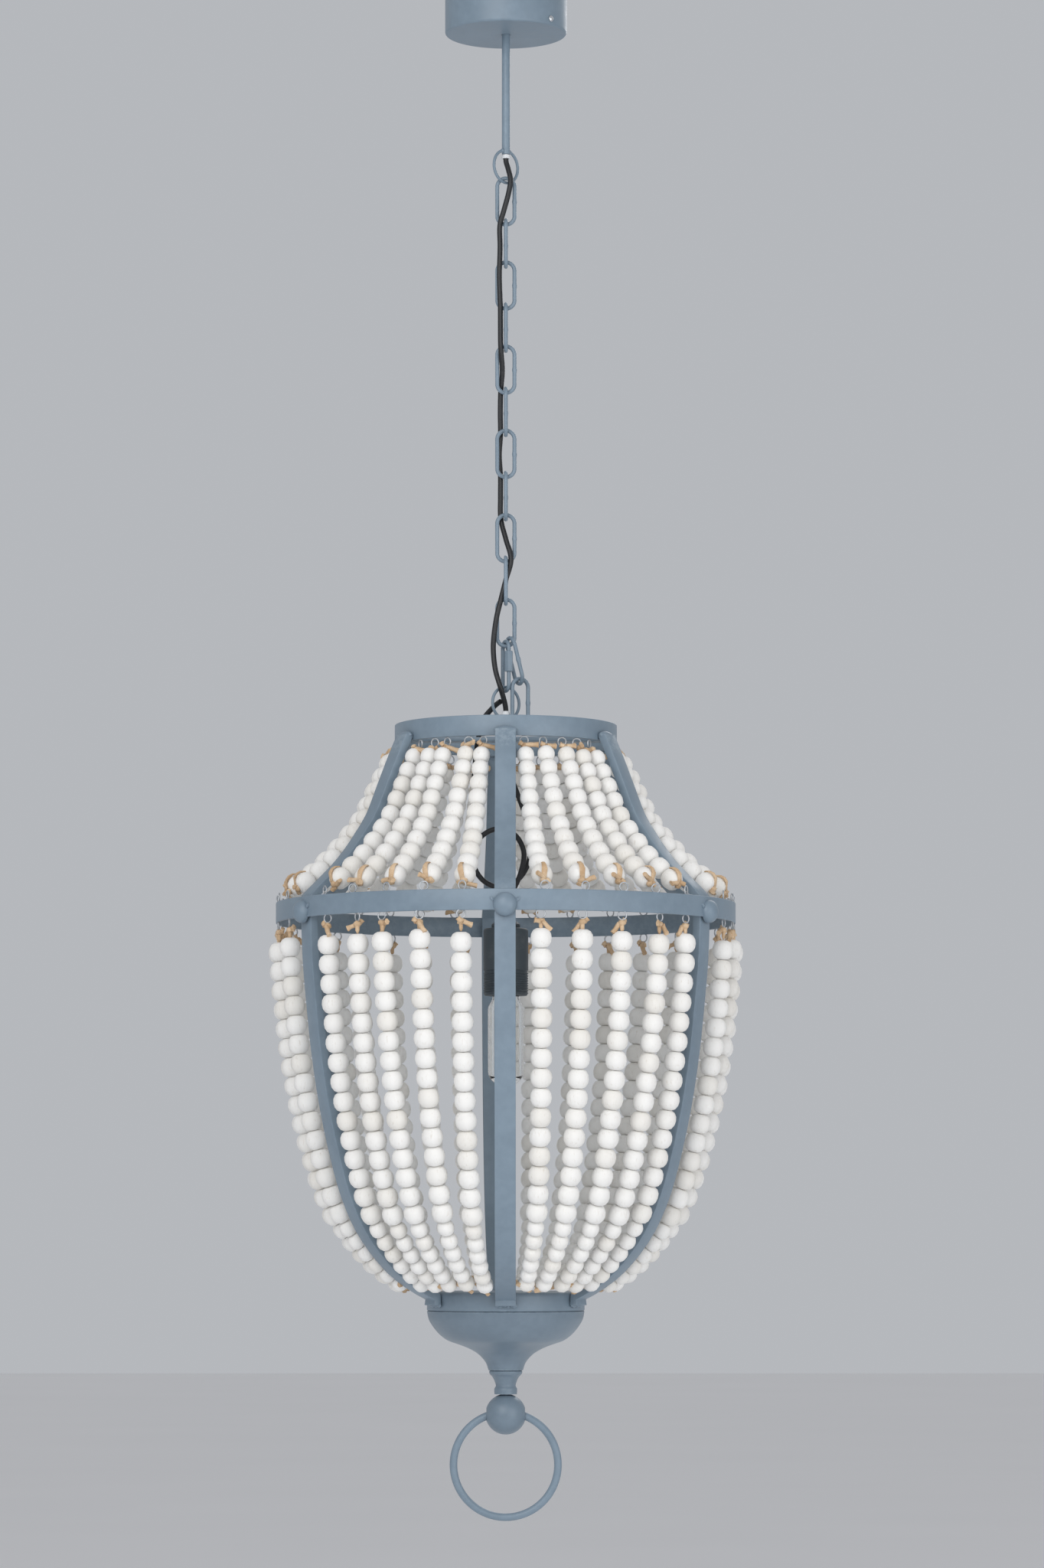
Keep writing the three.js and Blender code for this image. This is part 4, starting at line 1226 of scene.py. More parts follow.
@dataclass
class Chain:
    """The wire links between the stem's loop and the frame's, and the quick link that ends them."""

    finishes: Finishes
    wire: float = 4.0 * MM
    link_length: float = 50.0 * MM
    link_width: float = 21.0 * MM
    loaded_links: int = 11
    weld_swells: tuple[Pair, ...] = ((1.16, 1.2 * MM), (1.05, 2.4 * MM))
    spare_tilt: float = 13.5
    spare_turn: float = 25.0
    quick_length: float = 52.7 * MM
    quick_width: float = 18.0 * MM
    quick_turn: float = -65.0
    mouth: float = 6.8 * MM
    mouth_below_top: float = 11.3 * MM

    def build(self) -> None:
        """Models one link and lays its copies, then the quick link."""
        arc_radius = (self.link_width - self.wire) / 2
        half = (self.link_length - self.wire) / 2 - arc_radius
        pattern = wire_oval("link_pattern", arc_radius, half, self.wire)
        with editing(pattern):
            for swell, reach in self.weld_swells:
                pick(pattern, lambda p, reach=reach: p.x > 0 and abs(p.z) < reach)
                scale_selected(swell, swell, 1, (arc_radius, 0, 0))
        smoothed(pattern, 60)
        for index in range(1, self.loaded_links + 1):
            node = f"chain_link_{index:02d}"
            size = Extent.of(node)
            quarter = rotation(0 if index % 2 else 90)
            self.lay(pattern, node, f"link_{index:02d}", shift(0, 0, size.middle) @ quarter)
        self.spare_links(pattern)
        discard(pattern)
        self.quick_link()

    def lay(self, pattern: Piece, node: str, body: str, place: Matrix) -> None:
        """Puts a copy of the link where its solid is."""
        link = duplicate(pattern, f"{node}_wire", place)
        finished(link, self.finishes.paint, body, [node])

    def spare_links(self, pattern: Piece) -> None:
        """The two links left over, which hang beside the quick link.

        Args:
            pattern: The link that is copied.
        """
        spares = ((12, self.spare_tilt, self.quick_turn), (13, 0.0, self.spare_turn))
        for index, tilt, azimuth in spares:
            node = f"chain_link_{index:02d}"
            low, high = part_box(node)
            seat = Matrix.Translation((low + high) / 2) @ rotation(-tilt, "Y") @ rotation(azimuth)
            self.lay(pattern, node, f"link_{index:02d}", seat)

    def quick_link(self) -> None:
        """The oval with a mouth in one leg, and the hexagonal sleeve that closes it."""
        arc_radius = (self.quick_width - self.wire) / 2
        half = (self.quick_length - self.wire) / 2 - arc_radius
        mouth_top = (self.quick_length - self.wire) / 2 - self.mouth_below_top
        link = wire_oval("quick_link_wire", arc_radius, half, self.wire)
        with editing(link):
            for height in (mouth_top, mouth_top - self.mouth):
                pick(link, lambda p: p.x > 0 and abs(p.z) < half * 1.05)
                bpy.ops.mesh.bisect(plane_co=(0, 0, height), plane_no=(0, 0, 1))
            middle = mouth_top - self.mouth / 2
            reach = self.mouth / 2 - TOLERANCE
            pick(link, lambda p: p.x > 0 and abs(p.z - middle) < reach, Parts.FACES)
            bpy.ops.mesh.delete(type="FACE")
            close_holes()
        size = Extent.of("quick_link")
        link.data.transform(shift(0, 0, size.middle) @ rotation(self.quick_turn))
        finished(smoothed(link, 50), self.finishes.paint, "quick_link_body", ["quick_link"])
        sleeve = rounded_node("quick_link_sleeve", "quick_link_sleeve_hexagon", 0.45 * MM, 3)
        finished(sleeve, self.finishes.paint, "sleeve", ["quick_link_sleeve"])


@dataclass(frozen=True)
class Bend:
    """A stretch of cable that bends between two bodies, from one height to another."""

    upper: str
    lower: str
    start: float
    end: float


@dataclass
class Cords:
    """The cable from the ceiling to the lamp, and the second cord behind the top ring."""

    finishes: Finishes
    diameter: float = 5.2 * MM
    supply: tuple[Place, ...] = (
        (17.6, -16.3, -15.4), (10.9, -10.1, -17.2), (5.15, -4.8, -22.4), (1.35, -1.25, -30.2),
        (0, 0, -39.4), (0, 0, -48), (0, 0, -160), (0, 0, -171), (0.05, -0.05, -175.5),
        (2.4, -2.7, -184.5), (4.6, -5.3, -195), (3, -5.8, -207), (-2, -5.8, -226),
        (-5.8, -5.8, -240), (-5.7, -5.6, -262), (-6.4, -5.6, -292), (-5.4, -5.4, -322),
        (-5.3, -5.3, -341), (-5.1, -5.2, -360), (-3.5, 0, -383), (-5.1, 5.2, -404),
        (-5.5, 5.3, -424), (-5.3, 5.3, -446), (-6.5, 5.6, -466), (-5.3, 5.3, -487),
        (-5.3, 5.3, -508), (-5, 5.2, -529), (0, 0, -550), (5.1, -5.1, -571), (0, -3.4, -591),
        (-5.2, -5.3, -612), (-9, -6.5, -628), (-12, -6, -650), (-12.2, -5.5, -662),
        (-10.2, -6.9, -680), (-5.7, -10, -696), (-2.7, -6.7, -706), (-0.7, -1.8, -713.6),
        (0, -0.1, -719), (0, 0, -725), (0, 0, -757),
    )
    lamp: tuple[Place, ...] = (
        (0, 0, -757.3), (0, 0, -762), (2, 0, -775), (11, 3, -800), (20, 5, -825), (24, 6, -848),
        (22, 6.5, -869), (11.5, 6, -885.5), (-5.5, 4.5, -893), (-23, 1.5, -885.5),
        (-32.5, -2.5, -867), (-27.5, -6, -847.5), (-10, -8.5, -836.5), (8, -8.5, -841.5),
        (17.5, -7, -858), (15, -5, -878), (7, -2.5, -897), (1, -0.3, -911), (0, 0, -920),
        (0, 0, -930),
    )
    tail: tuple[Place, ...] = (
        (-5.2, -1.6, -710.5), (-9.5, 3.6, -713), (-15, 8, -718), (-21.5, 11, -726),
        (-27, 15, -745), (-30, 18, -768), (-31, 19, -785), (-31, 19, -805),
    )
    cap_radius: float = 4.3 * MM
    cap_length: float = 14.0 * MM
    cap_edge: float = 0.9 * MM
    cap_grooves: tuple[float, ...] = (-3.6, -1.0, 1.6, 4.2)
    groove_depth: float = 0.4 * MM
    groove_step: float = 0.5 * MM
    second_pivot: float = -238.89 * MM
    pivot_pitch: float = 41.69 * MM
    step: float = 2.0 * MM
    tuck: tuple[float, ...] = (0.7, 0.85)
    at_stem: Bend = Bend("ceiling_fixing", "link_01", -177.5 * MM, -216.5 * MM)
    at_frame: Bend = Bend("quick_link_body", "cage", -684.0 * MM, -715.5 * MM)

    def build(self) -> None:
        """Lays the three cords."""
        self.supply_cable()
        self.cord("lamp_cable_in_the_bell", "lamp_cable", self.lamp, "lamp")
        self.cord("second_cord", "cord_tail", self.tail, "cage", [self.cap()])

    def supply_cable(self) -> None:
        """The supply cable in lengths. Each hangs with its link and starts inside the last."""
        course = Course([Vector(point) * MM for point in self.supply])
        places = course.spaced(round(course.length / self.step))
        pivots = [self.second_pivot - self.pivot_pitch * index for index in range(11)]
        cuts = [next(i for i, place in enumerate(places) if place.z <= pivot) for pivot in pivots]
        links = [f"link_{index:02d}" for index in range(2, 12)]
        riders: list[str | Bend] = [self.at_stem, *links, self.at_frame]
        lengths = zip(riders, pairwise([0, *cuts, len(places) - 1]), strict=True)
        for index, (rider, (first, last)) in enumerate(lengths, 1):
            tucked = self.tuck if first else ()
            run = places[first - len(tucked):last + 1]
            take(self.tube(f"supply_cable_{index:02d}", run, tucked))
            bpy.ops.object.convert(target="MESH")
            piece = smoothed(active(), 60)
            body = rider if isinstance(rider, str) else ""
            finished(piece, self.finishes.cable, body, ["power_cable"])
            if isinstance(rider, Bend):
                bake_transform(piece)

    def cap(self) -> Piece:
        """The ribbed cap that closes the end of the second cord.

        Returns:
            The cap.
        """
        half, radius, edge = self.cap_length / 2, self.cap_radius, self.cap_edge
        outline: Outline = [(0.0, -half), *arc((radius - edge, edge - half), edge, -90, 0, 4)]
        for height in self.cap_grooves:
            outline += stepped(radius, radius - self.groove_depth, height * MM, self.groove_step)
        outline += [(radius, half - edge), (radius - edge, half), (0.0, half)]
        cap = turned("second_cord_cap", outline, 40)
        cap.data.transform(Matrix.Translation(Vector(self.tail[-1]) * MM))
        return finished(smoothed(cap), self.finishes.cable, "cage", ["cord_tail"])

    def tube(self, name: str, places: Sequence[Vector], thin: Sequence[float] = ()) -> Piece:
        """One round length of cable, closed at both ends.

        Args:
            name: The piece's name.
            places: Places close together on its middle line.
            thin: What share of the thickness the first places have.

        Returns:
            The curve.
        """
        curve = bpy.data.curves.new(name, "CURVE")
        curve.dimensions = "3D"
        curve.bevel_depth = self.diameter / 2
        curve.bevel_resolution = 5
        curve.use_fill_caps = True
        spline = curve.splines.new("POLY")
        spline.points.add(len(places) - 1)
        for point, place in zip(spline.points, places, strict=True):
            point.co = (*place, 1)
        for point, share in zip(spline.points, thin):
            point.radius = share
        spline.use_smooth = True
        return into_scene(bpy.data.objects.new(name, curve))

    def cord(
        self, name: str, node: str, route: Sequence[Place], body: str,
        pieces: Sequence[Piece] = (),
    ) -> None:
        """Models one cord as a smooth curve along its route.

        Args:
            name: The piece's name.
            node: The cord's solid.
            route: Points in millimetres.
            body: The body it moves with.
            pieces: The separate pieces on it. Not used.
        """
        course = Course([Vector(point) * MM for point in route])
        places = course.spaced(max(12, round(course.length / (4 * MM))))
        piece = finished(self.tube(name, places), self.finishes.cable, body, [node])


@dataclass
class Frame:
    """The two rings, the six ribs, the cross bar and the tube that they hang on.

    The foot welds' places are in millimetres, and dome_weld_lean is in radians.
    """

    finishes: Finishes
    body: str = "cage"
    band: float = 3.0 * MM
    band_height: float = 20.0 * MM
    band_edge: float = 0.7 * MM
    rib_width: float = 20.0 * MM
    rib_thickness: float = 8.0 * MM
    rib_edge: float = 1.1 * MM
    bell_steps: int = 18
    basket_steps: int = 32
    gap: float = 0.3 * MM
    ring_sides: int = 40
    back_rib_shift: float = 4.0
    rib_lap_on_top: float = 6.0 * MM
    rib_lap_on_cup: float = 8.0 * MM
    rib_drop_to_cup: float = 5.0 * MM
    dome_radius: float = 11.25 * MM
    dome_height: float = 8.5 * MM
    dome_below_middle: float = 4.5 * MM
    dome_weld: Place = (3.6 * MM, 7.0 * MM, 2.6 * MM)
    dome_weld_rough: float = 0.9 * MM
    dome_weld_aside: float = 0.4 * MM
    dome_weld_out: float = 4.5 * MM
    dome_weld_lean: float = 0.7
    top_weld: Place = (8.4 * MM, 24.0 * MM, 9.0 * MM)
    top_weld_rough: float = 0.4 * MM
    top_weld_place: Place = (-1.2 * MM, 0, -1.0 * MM)
    foot_weld: Place = (3.4 * MM, 4.6 * MM, 3.4 * MM)
    foot_weld_rough: float = 0.7 * MM
    foot_weld_asides: tuple[float, ...] = (-8.0, -4.8, -1.2, 2.6, 6.0, 8.4)
    bell: tuple[Pair, ...] = (
        (0, 0), (0.09, 0.13), (0.2, 0.3), (0.33, 0.5), (0.43, 0.6), (0.54, 0.7), (0.67, 0.8),
        (0.83, 0.9), (1, 1),
    )
    basket: tuple[Pair, ...] = (
        (0, 0), (0.01, 0.1), (0.04, 0.22), (0.085, 0.36), (0.15, 0.5), (0.235, 0.63),
        (0.32, 0.73), (0.43, 0.815), (0.56, 0.88), (0.7, 0.932), (0.85, 0.97), (1, 1),
    )
    top_ring: Extent = field(default_factory=lambda: Extent.of("frame_top_ring"))
    cup: Extent = field(default_factory=lambda: Extent.of("cup_lid"))
    middle_radius: float = 225.0 * MM
    loop_turn: float = 36

    @property
    def middle_ring(self) -> Extent:
        """The middle ring without its domes."""
        top = Extent.of("frame_middle_ring").top
        return Extent(top - self.band_height, top, self.middle_radius)

    def azimuth(self, rib: int) -> float:
        """Azimuth of a rib. The back one is set a little off its mark."""
        even = 360 / len(RIB_NAMES) * rib
        return even + self.back_rib_shift if rib == len(RIB_NAMES) // 2 else even

    def run(
        self, shares: Sequence[Pair], start: Pair,
        end: Pair, count: int,
    ) -> list[Vector]:
        """Evenly spaced points, in the plane of X and Z, on a curve given as shares of the way.

        Args:
            shares: Shares of the way out and of the way down.
            start: (radius, height) that the curve starts from.
            end: (radius, height) that it comes to.
            count: How many steps it has.

        Returns:
            The points.
        """
        points = [
            Vector((start[0] + (end[0] - start[0]) * out, 0, start[1] + (end[1] - start[1]) * down))
            for out, down in shares
        ]
        return Course(points).spaced(count)

    def build(self) -> None:
        """Models and dresses the frame."""
        self.hoops()
        self.ribs()
        self.cross()
        HangingTube(self.finishes, self.body, "frame", self.loop_turn, True).build()

    def hoops(self) -> None:
        """The two hoops of flat strip, the lower one with a dome in front of each rib."""
        hoops = {"frame_top_ring": self.top_ring, "frame_middle_ring": self.middle_ring}
        for node, size in hoops.items():
            inside = size.radius - self.band
            outline = hollow(size.radius, inside, size.bottom, size.top, self.band_edge)
            hoop = smoothed(turned(f"{node}_strip", outline, 128, ring=True), 60)
            if node == "frame_middle_ring":
                hoop = joined(f"{node}_strip", [hoop, *self.domes()])
            finished(hoop, self.finishes.paint, self.body, [node])

    def domes(self) -> list[Piece]:
        """The half balls on the middle ring, each with specks of weld at its sides.

        Returns:
            The domes and their weld.
        """
        size = self.middle_ring
        outline = [
            (self.dome_radius, -self.band / 2), (self.dome_radius, 0.0),
            *[(self.dome_radius * math.cos(a), self.dome_height * math.sin(a))
              for a in (math.radians(10 * i) for i in range(1, 9))],
            (0.0, self.dome_height),
        ]
        dome = smoothed(turned("dome_pattern", outline, 40), 60)
        weld = lump("weld_pattern", self.dome_weld, self.dome_weld_rough, 11)
        height = size.middle - self.dome_below_middle
        weld_side = self.dome_radius + self.dome_weld_aside
        pieces = []
        for index in range(len(RIB_NAMES)):
            seat = about_axis(self.azimuth(index)) @ shift(size.radius, 0, height)
            pieces.append(duplicate(dome, "dome", seat @ rotation(90, "Y")))
            for side in (-1, 1):
                aside = shift(0, side * weld_side, self.dome_weld_out)
                lean = Matrix.Rotation(side * self.dome_weld_lean, 4, "X")
                pieces.append(duplicate(weld, "weld", seat @ aside @ lean))
        discard(dome)
        discard(weld)
        return pieces

    def rib_line(self) -> list[Vector]:
        """The middle line of a rib, from the top ring's face, behind the middle one, to the cup.

        Returns:
            Its points, in the plane of X and Z.
        """
        half, gap = self.rib_thickness / 2, self.gap
        at_top = self.top_ring.radius + gap + half
        inside = (self.middle_radius - self.band) * math.cos(math.pi / self.ring_sides) - gap
        at_middle = math.sqrt(inside ** 2 - (self.rib_width / 2) ** 2) - half
        at_cup = self.cup.radius + gap + half
        lap = self.cup.top - self.rib_drop_to_cup
        middle = self.middle_ring
        return [
            Vector((at_top, 0, self.top_ring.bottom + self.rib_lap_on_top)),
            *self.run(
                self.bell, (at_top, self.top_ring.bottom + half), (at_middle, middle.top),
                self.bell_steps,
            ),
            *self.run(self.basket, (at_middle, middle.bottom), (at_cup, lap), self.basket_steps),
            Vector((at_cup, 0, lap - self.rib_lap_on_cup)),
        ]

    def ribs(self) -> None:
        """Six flat bars, extruded along their line and joined to ring and cup by beads of weld."""
        line = self.rib_line()
        headings = []
        for index in range(len(line)):
            run = line[min(index + 1, len(line) - 1)] - line[max(index - 1, 0)]
            headings.append(math.atan2(run.x, run.z))
        deselect()
        bpy.ops.mesh.primitive_plane_add(size=1, location=(0, 0, 0), enter_editmode=True)
        scale_selected(self.rib_thickness, self.rib_width, 1)
        turn_selected(headings[0], "Y", Vector())
        move_selected(*line[0])
        for (before, after), (old, new) in zip(pairwise(line), pairwise(headings), strict=True):
            bpy.ops.mesh.extrude_region_move(TRANSFORM_OT_translate={"value": after - before})
            turn_selected(new - old, "Y", after)
        pick_all()
        bpy.ops.mesh.normals_make_consistent(inside=False)
        leave_edit_mode()
        bar = bevelled(named("rib_pattern"), self.rib_edge, 3, 50)
        bar = smoothed(joined("rib_pattern", [bar, *self.rib_welds(line[0], line[-1])]), 45)
        for index, place in enumerate(RIB_NAMES):
            rib = duplicate(bar, f"rib_{place}_bar", about_axis(self.azimuth(index)))
            finished(rib, self.finishes.paint, self.body, [f"rib_{place}"])
        discard(bar)

    def rib_welds(self, top: Vector, foot: Vector) -> list[Piece]:
        """The weld at a rib's top end, and the uneven row of beads across its foot.

        Args:
            top: The rib's first point.
            foot: Its last point.

        Returns:
            The beads of weld.
        """
        seat = top + Vector(self.top_weld_place)
        welds = [lump("rib_top_weld", self.top_weld, self.top_weld_rough, 5, seat)]
        width, across, height = self.foot_weld
        for index, aside in enumerate(self.foot_weld_asides):
            size = (width, across + index % 3 * MM, height + index % 2 * 1.6 * MM)
            seat = foot + Vector((-2.4 * MM, aside * MM, 0.2 * MM))
            welds.append(lump("foot_weld", size, self.foot_weld_rough, 20 + index, seat))
        return welds

    def cross(self) -> None:
        """The two crossed flat bars inside the top ring."""
        bar = rounded_node("frame_cross_bar", "cross_bar_flat", 0.8 * MM, 3)
        finished(bar, self.finishes.paint, self.body, ["frame_cross_bar"])


@dataclass(frozen=True)
class JuteWork:
    """The patterns of the jute: knots with two frayed tails, and a tail that lies over a bead.

    The tails' lengths and the laid tail's path are in millimetres, their leans in degrees.
    """

    neck: Place = (4.4 * MM, 4.0 * MM, 14.0 * MM)
    neck_rough: float = 0.5 * MM
    neck_drop: float = 5.6 * MM
    knot: Place = (8.0 * MM, 6.8 * MM, 6.6 * MM)
    knot_rough: float = 1.2 * MM
    knot_drop: float = 2.6 * MM
    faces_kept: float = 0.10
    long_tail: Pair = (8, 13)
    short_tail: Pair = (3.5, 6)
    short_lean: Pair = (30, 80)
    tail_radius: float = 2.3 * MM
    tail_place: Place = (1.4 * MM, -2.6 * MM, -2.8 * MM)
    fray: float = 0.7 * MM
    laid_path: tuple[Pair, ...] = (
        (8.8, 1.4), (11.6, 1.9), (12.1, 2.4), (10.4, 2.7), (3.2, 2.4),
    )
    laid_step: float = 4.4 * MM
    laid_drop: float = 2.0 * MM
    laid_rough: float = 0.4 * MM

    def tie(self, seed: int, lean: Pair) -> Piece:
        """One knot with its tails, the string's line along Z and the bead below it.

        Args:
            seed: Chooses the tails' lengths and lean.
            lean: The least and the greatest lean of the long tail from straight up.

        Returns:
            The pattern, with its top at the origin.
        """
        luck = random.Random(seed)
        parts = [
            lump("tie_neck", self.neck, self.neck_rough, seed, (0, 0, -self.neck_drop)),
            lump("tie_knot", self.knot, self.knot_rough, seed + 9, (0, 0, -self.knot_drop)),
        ]
        for part in parts:
            apply_modifier(part, "DECIMATE", {"ratio": self.faces_kept})
        long_tail = (1, luck.uniform(*self.long_tail) * MM, luck.uniform(*lean))
        short_tail = (-1, luck.uniform(*self.short_tail) * MM, luck.uniform(*self.short_lean))
        aside, front, up = self.tail_place
        for side, length, tilt in (long_tail, short_tail):
            tail = self.strand_end(length, seed + side)
            tail.data.transform(shift(side * aside, front, up) @ rotation(side * tilt, "Y"))
            parts.append(tail)
        return smoothed(joined(f"tie_pattern_{seed}", parts), 75)

    def strand_end(self, length: float, seed: int) -> Piece:
        """A frayed end of jute, from the origin along +Z.

        Args:
            length: Its length.
            seed: Chooses how it frays.

        Returns:
            The end.
        """
        tail = rod(self.tail_radius, length, 6)
        cut_across(0.3 * length, 0.65 * length)
        pick(tail, lambda p: p.z > length * 0.9)
        scale_selected(1.35, 0.9, 1)
        pick_all()
        bpy.ops.transform.vertex_random(offset=self.fray, seed=seed)
        leave_edit_mode()
        return tail

    def laid(self) -> Piece:
        """A tail laid back over the last bead of a string, on its outer side.

        Returns:
            The pattern.
        """
        step, last = self.laid_step, len(self.laid_path) - 1
        tail = rod(MM, step * last, 7)
        cut_across(*(ring * step for ring in range(1, last)))
        for ring, (out, wide) in enumerate(self.laid_path):
            pick(tail, lambda p, height=ring * step: abs(p.z - height) < 0.2 * step)
            scale_selected(wide, 0.6 * wide, 1)
            move_selected(0, -out * MM, 0)
        pick_all()
        move_selected(0, 0, -self.laid_drop - step * last)
        bpy.ops.transform.vertex_random(offset=self.laid_rough, seed=4)
        leave_edit_mode()
        return smoothed(named("laid_pattern"), 75)


@dataclass
class Hung:
    """What hangs in one panel: its beads, its wire eyes and its jute."""

    beads: list[Piece] = field(default_factory=list)
    eyes: list[Piece] = field(default_factory=list)
    jute: list[Piece] = field(default_factory=list)


@dataclass
class Strands:
    """The strings of beads between the ribs, each on a wire eye and tied with jute.

    Leans and slips aside are in degrees, spins and twists in radians.
    """

    finishes: Finishes
    frame: Frame
    body: str = "cage"
    per_panel: int = 5
    height_share: float = 0.92
    upper_count: int = 10
    first_bead: float = 16.5 * MM
    large_bead: float = 20.4 * MM
    lower_large: int = 15
    lower_small: int = 6
    small_bead: float = 16.4 * MM
    upper_tie_share: float = 0.5
    lower_tie_share: float = 0.42
    upper_lean: Pair = (72, 104)
    lower_lean: Pair = (108, 152)
    tie_width: float = 3.0 * MM
    tie_twist: float = 0.7
    laid_twist: float = 0.3
    eye_radius: float = 4.2 * MM
    eye_wire: float = 1.5 * MM
    eye_turn: float = 25
    eye_sink: float = 1.2 * MM
    knot_sink: float = 1.0 * MM
    upper_foot: float = 3.0 * MM
    lower_foot: float = 2.0 * MM
    squeeze: float = 0.4 * MM
    slip_at_top: float = 1.5
    slip_at_foot: float = 0.5
    slip_along: float = 2.0 * MM
    line_steps: int = 20
    bead_widths: Pair = (1.005, 1.030)
    dimple: float = 0.03
    bead_shape: tuple[Place, ...] = (
        (0.0, 0.5, 0.0), (0.191, 0.470, 0.200), (0.354, 0.370, 0.368), (0.462, 0.215, 0.452),
    )

    def build(self) -> None:
        """Strings every panel of the bell and of the basket."""
        self.luck = random.Random(7)
        self.bead = self.bead_pattern()
        self.eye = smoothed(wire_ring("eye_pattern", self.eye_radius, self.eye_wire, 14, 5), 80)
        jute = JuteWork()
        self.ties = {
            Section.UPPER: [jute.tie(seed, self.upper_lean) for seed in range(4)],
            Section.LOWER: [jute.tie(seed, self.lower_lean) for seed in range(4, 8)],
        }
        self.laid = jute.laid()
        for section in Section:
            for rib in range(len(RIB_NAMES)):
                self.panel(section, rib)
        for pattern in (self.bead, self.eye, self.laid, *sum(self.ties.values(), [])):
            discard(pattern)

    def bead_pattern(self) -> Piece:
        """One bead, 1 across: a barrel with a flat face and a dimple at each end of its hole.

        Each ring of a ball is brought from its height to a radius and another height.

        Returns:
            The bead.
        """
        deselect()
        bpy.ops.mesh.primitive_uv_sphere_add(
            segments=12, ring_count=8, radius=0.5, location=(0, 0, 0), enter_editmode=True,
            calc_uvs=True,
        )
        bead = active()
        half = self.height_share / 2
        for height, radius, lifted in self.bead_shape:
            for side in (-1, 1):
                pick(bead, lambda p, h=side * height: abs(p.z - h) < 0.02)
                scale = radius / math.sqrt(0.25 - height ** 2)
                scale_selected(scale, scale, 1)
                move_selected(0, 0, side * (lifted - height))
                if not height:
                    break
        for side in (-1, 1):
            pick(bead, lambda p, side=side: p.z * side > 0.49)
            move_selected(0, 0, side * (half - 0.5 - self.dimple))
        leave_edit_mode()
        return smoothed(named("bead_pattern"), 70)

    def line(self, section: Section) -> list[Vector]:
        """The line that a string follows, in the plane of X and Z.

        Args:
            section: The half of the basket.

        Returns:
            The points of the line.
        """
        top, middle, cup = self.frame.top_ring, self.frame.middle_ring, self.frame.cup
        gap, half_band, count = self.frame.gap, self.frame.band / 2, self.line_steps
        tie = self.tie_width / 2
        if section is Section.UPPER:
            start = (top.radius - half_band, top.bottom - gap - tie)
            end = (middle.radius - half_band, middle.top + gap + tie)
            return self.frame.run(self.frame.bell, start, end, count)
        start = (middle.radius - half_band, middle.bottom - gap)
        end = (cup.radius + gap + tie, cup.top - self.frame.rib_drop_to_cup - tie)
        return self.frame.run(self.frame.basket, start, end, count)

    def beads(self, section: Section) -> list[float]:
        """The diameters of a string's beads, from the top.

        Args:
            section: The half of the basket.

        Returns:
            The diameters.
        """
        if section is Section.LOWER:
            return [self.large_bead] * self.lower_large + [self.small_bead] * self.lower_small
        last = self.upper_count - 1
        growth = self.large_bead - self.first_bead
        return [self.first_bead + growth * i / last for i in range(self.upper_count)]

    def panel(self, section: Section, rib: int) -> None:
        """The strings between one rib and the next, as one piece of each material.

        Args:
            section: The half of the basket.
            rib: Index of the rib at the panel's start.
        """
        start = self.frame.azimuth(rib)
        end = self.frame.azimuth(rib + 1) if rib + 1 < len(RIB_NAMES) else 360.0
        even = (end - start) / (self.per_panel + 1)
        line = self.line(section)
        sizes = self.beads(section)
        tie_share = self.upper_tie_share if section is Section.UPPER else self.lower_tie_share
        crowd = even
        if section is Section.LOWER:
            crowd = math.degrees((self.small_bead - self.squeeze) / (line[-1].x + self.small_bead))
        hung = Hung()
        for index in range(self.per_panel):
            place = index - (self.per_panel - 1) / 2
            course = self.course(line, (start + end) / 2, place * even, place * crowd)
            strung = sum(size * self.height_share for size in sizes)
            along = (course.length - strung) * tie_share
            along += self.luck.uniform(-self.slip_along, self.slip_along)
            self.fasten(section, course, along, along + strung, hung)
            for size in sizes:
                half = size * self.height_share / 2
                hung.beads.append(self.threaded(course, along + half, size))
                along += 2 * half
        between = f"{RIB_NAMES[rib]}_to_{RIB_NAMES[(rib + 1) % len(RIB_NAMES)]}"
        kinds = (
            ("beads", hung.beads, self.finishes.beads, [f"{section.value}_strands_{between}"]),
            ("eyes", hung.eyes, self.finishes.eye_wire, []),
            ("jute", hung.jute, self.finishes.jute, []),
        )
        for kind, parts, dressing, nodes in kinds:
            piece = joined(f"{section.value}_{kind}_{between}", parts)
            finished(piece, dressing, self.body, nodes)

    def course(
        self, line: Sequence[Vector], middle: float, at_top: float, at_foot: float,
    ) -> Course:
        """The line of one string, a little off its even place.

        Args:
            line: The line in the plane of X and Z.
            middle: Azimuth of the panel's middle, in degrees.
            at_top: How far to the side the string starts.
            at_foot: How far to the side it ends.

        Returns:
            The string's own line.
        """
        at_top += self.luck.uniform(-self.slip_at_top, self.slip_at_top)
        at_foot += self.luck.uniform(-self.slip_at_foot, self.slip_at_foot)
        points = []
        for step, point in enumerate(line):
            share = step / (len(line) - 1)
            azimuth = middle + at_top * (1 - share) + at_foot * share
            points.append(outwards(azimuth) * point.x + Vector((0, 0, point.z)))
        return Course(points)

    def threaded(self, course: Course, along: float, size: float) -> Piece:
        """One bead on its string, with a turn and a tone of its own.

        Args:
            course: The string's line.
            along: Where on it the bead's middle is.
            size: The bead's diameter.

        Returns:
            The bead.
        """
        facing = course.heading(along).to_track_quat("Z", "X").to_matrix().to_4x4()
        spin = Matrix.Rotation(self.luck.uniform(0, 2 * math.pi), 4, "Z")
        width = size * self.luck.uniform(*self.bead_widths)
        seat = Matrix.Translation(course.place(along)) @ facing @ spin
        bead = duplicate(self.bead, "bead", seat @ Matrix.Diagonal((width, width, size, 1)))
        tone = bead.data.attributes.new("tone", "FLOAT", "POINT")
        tone.data.foreach_set("value", [self.luck.random()] * len(bead.data.vertices))
        return bead

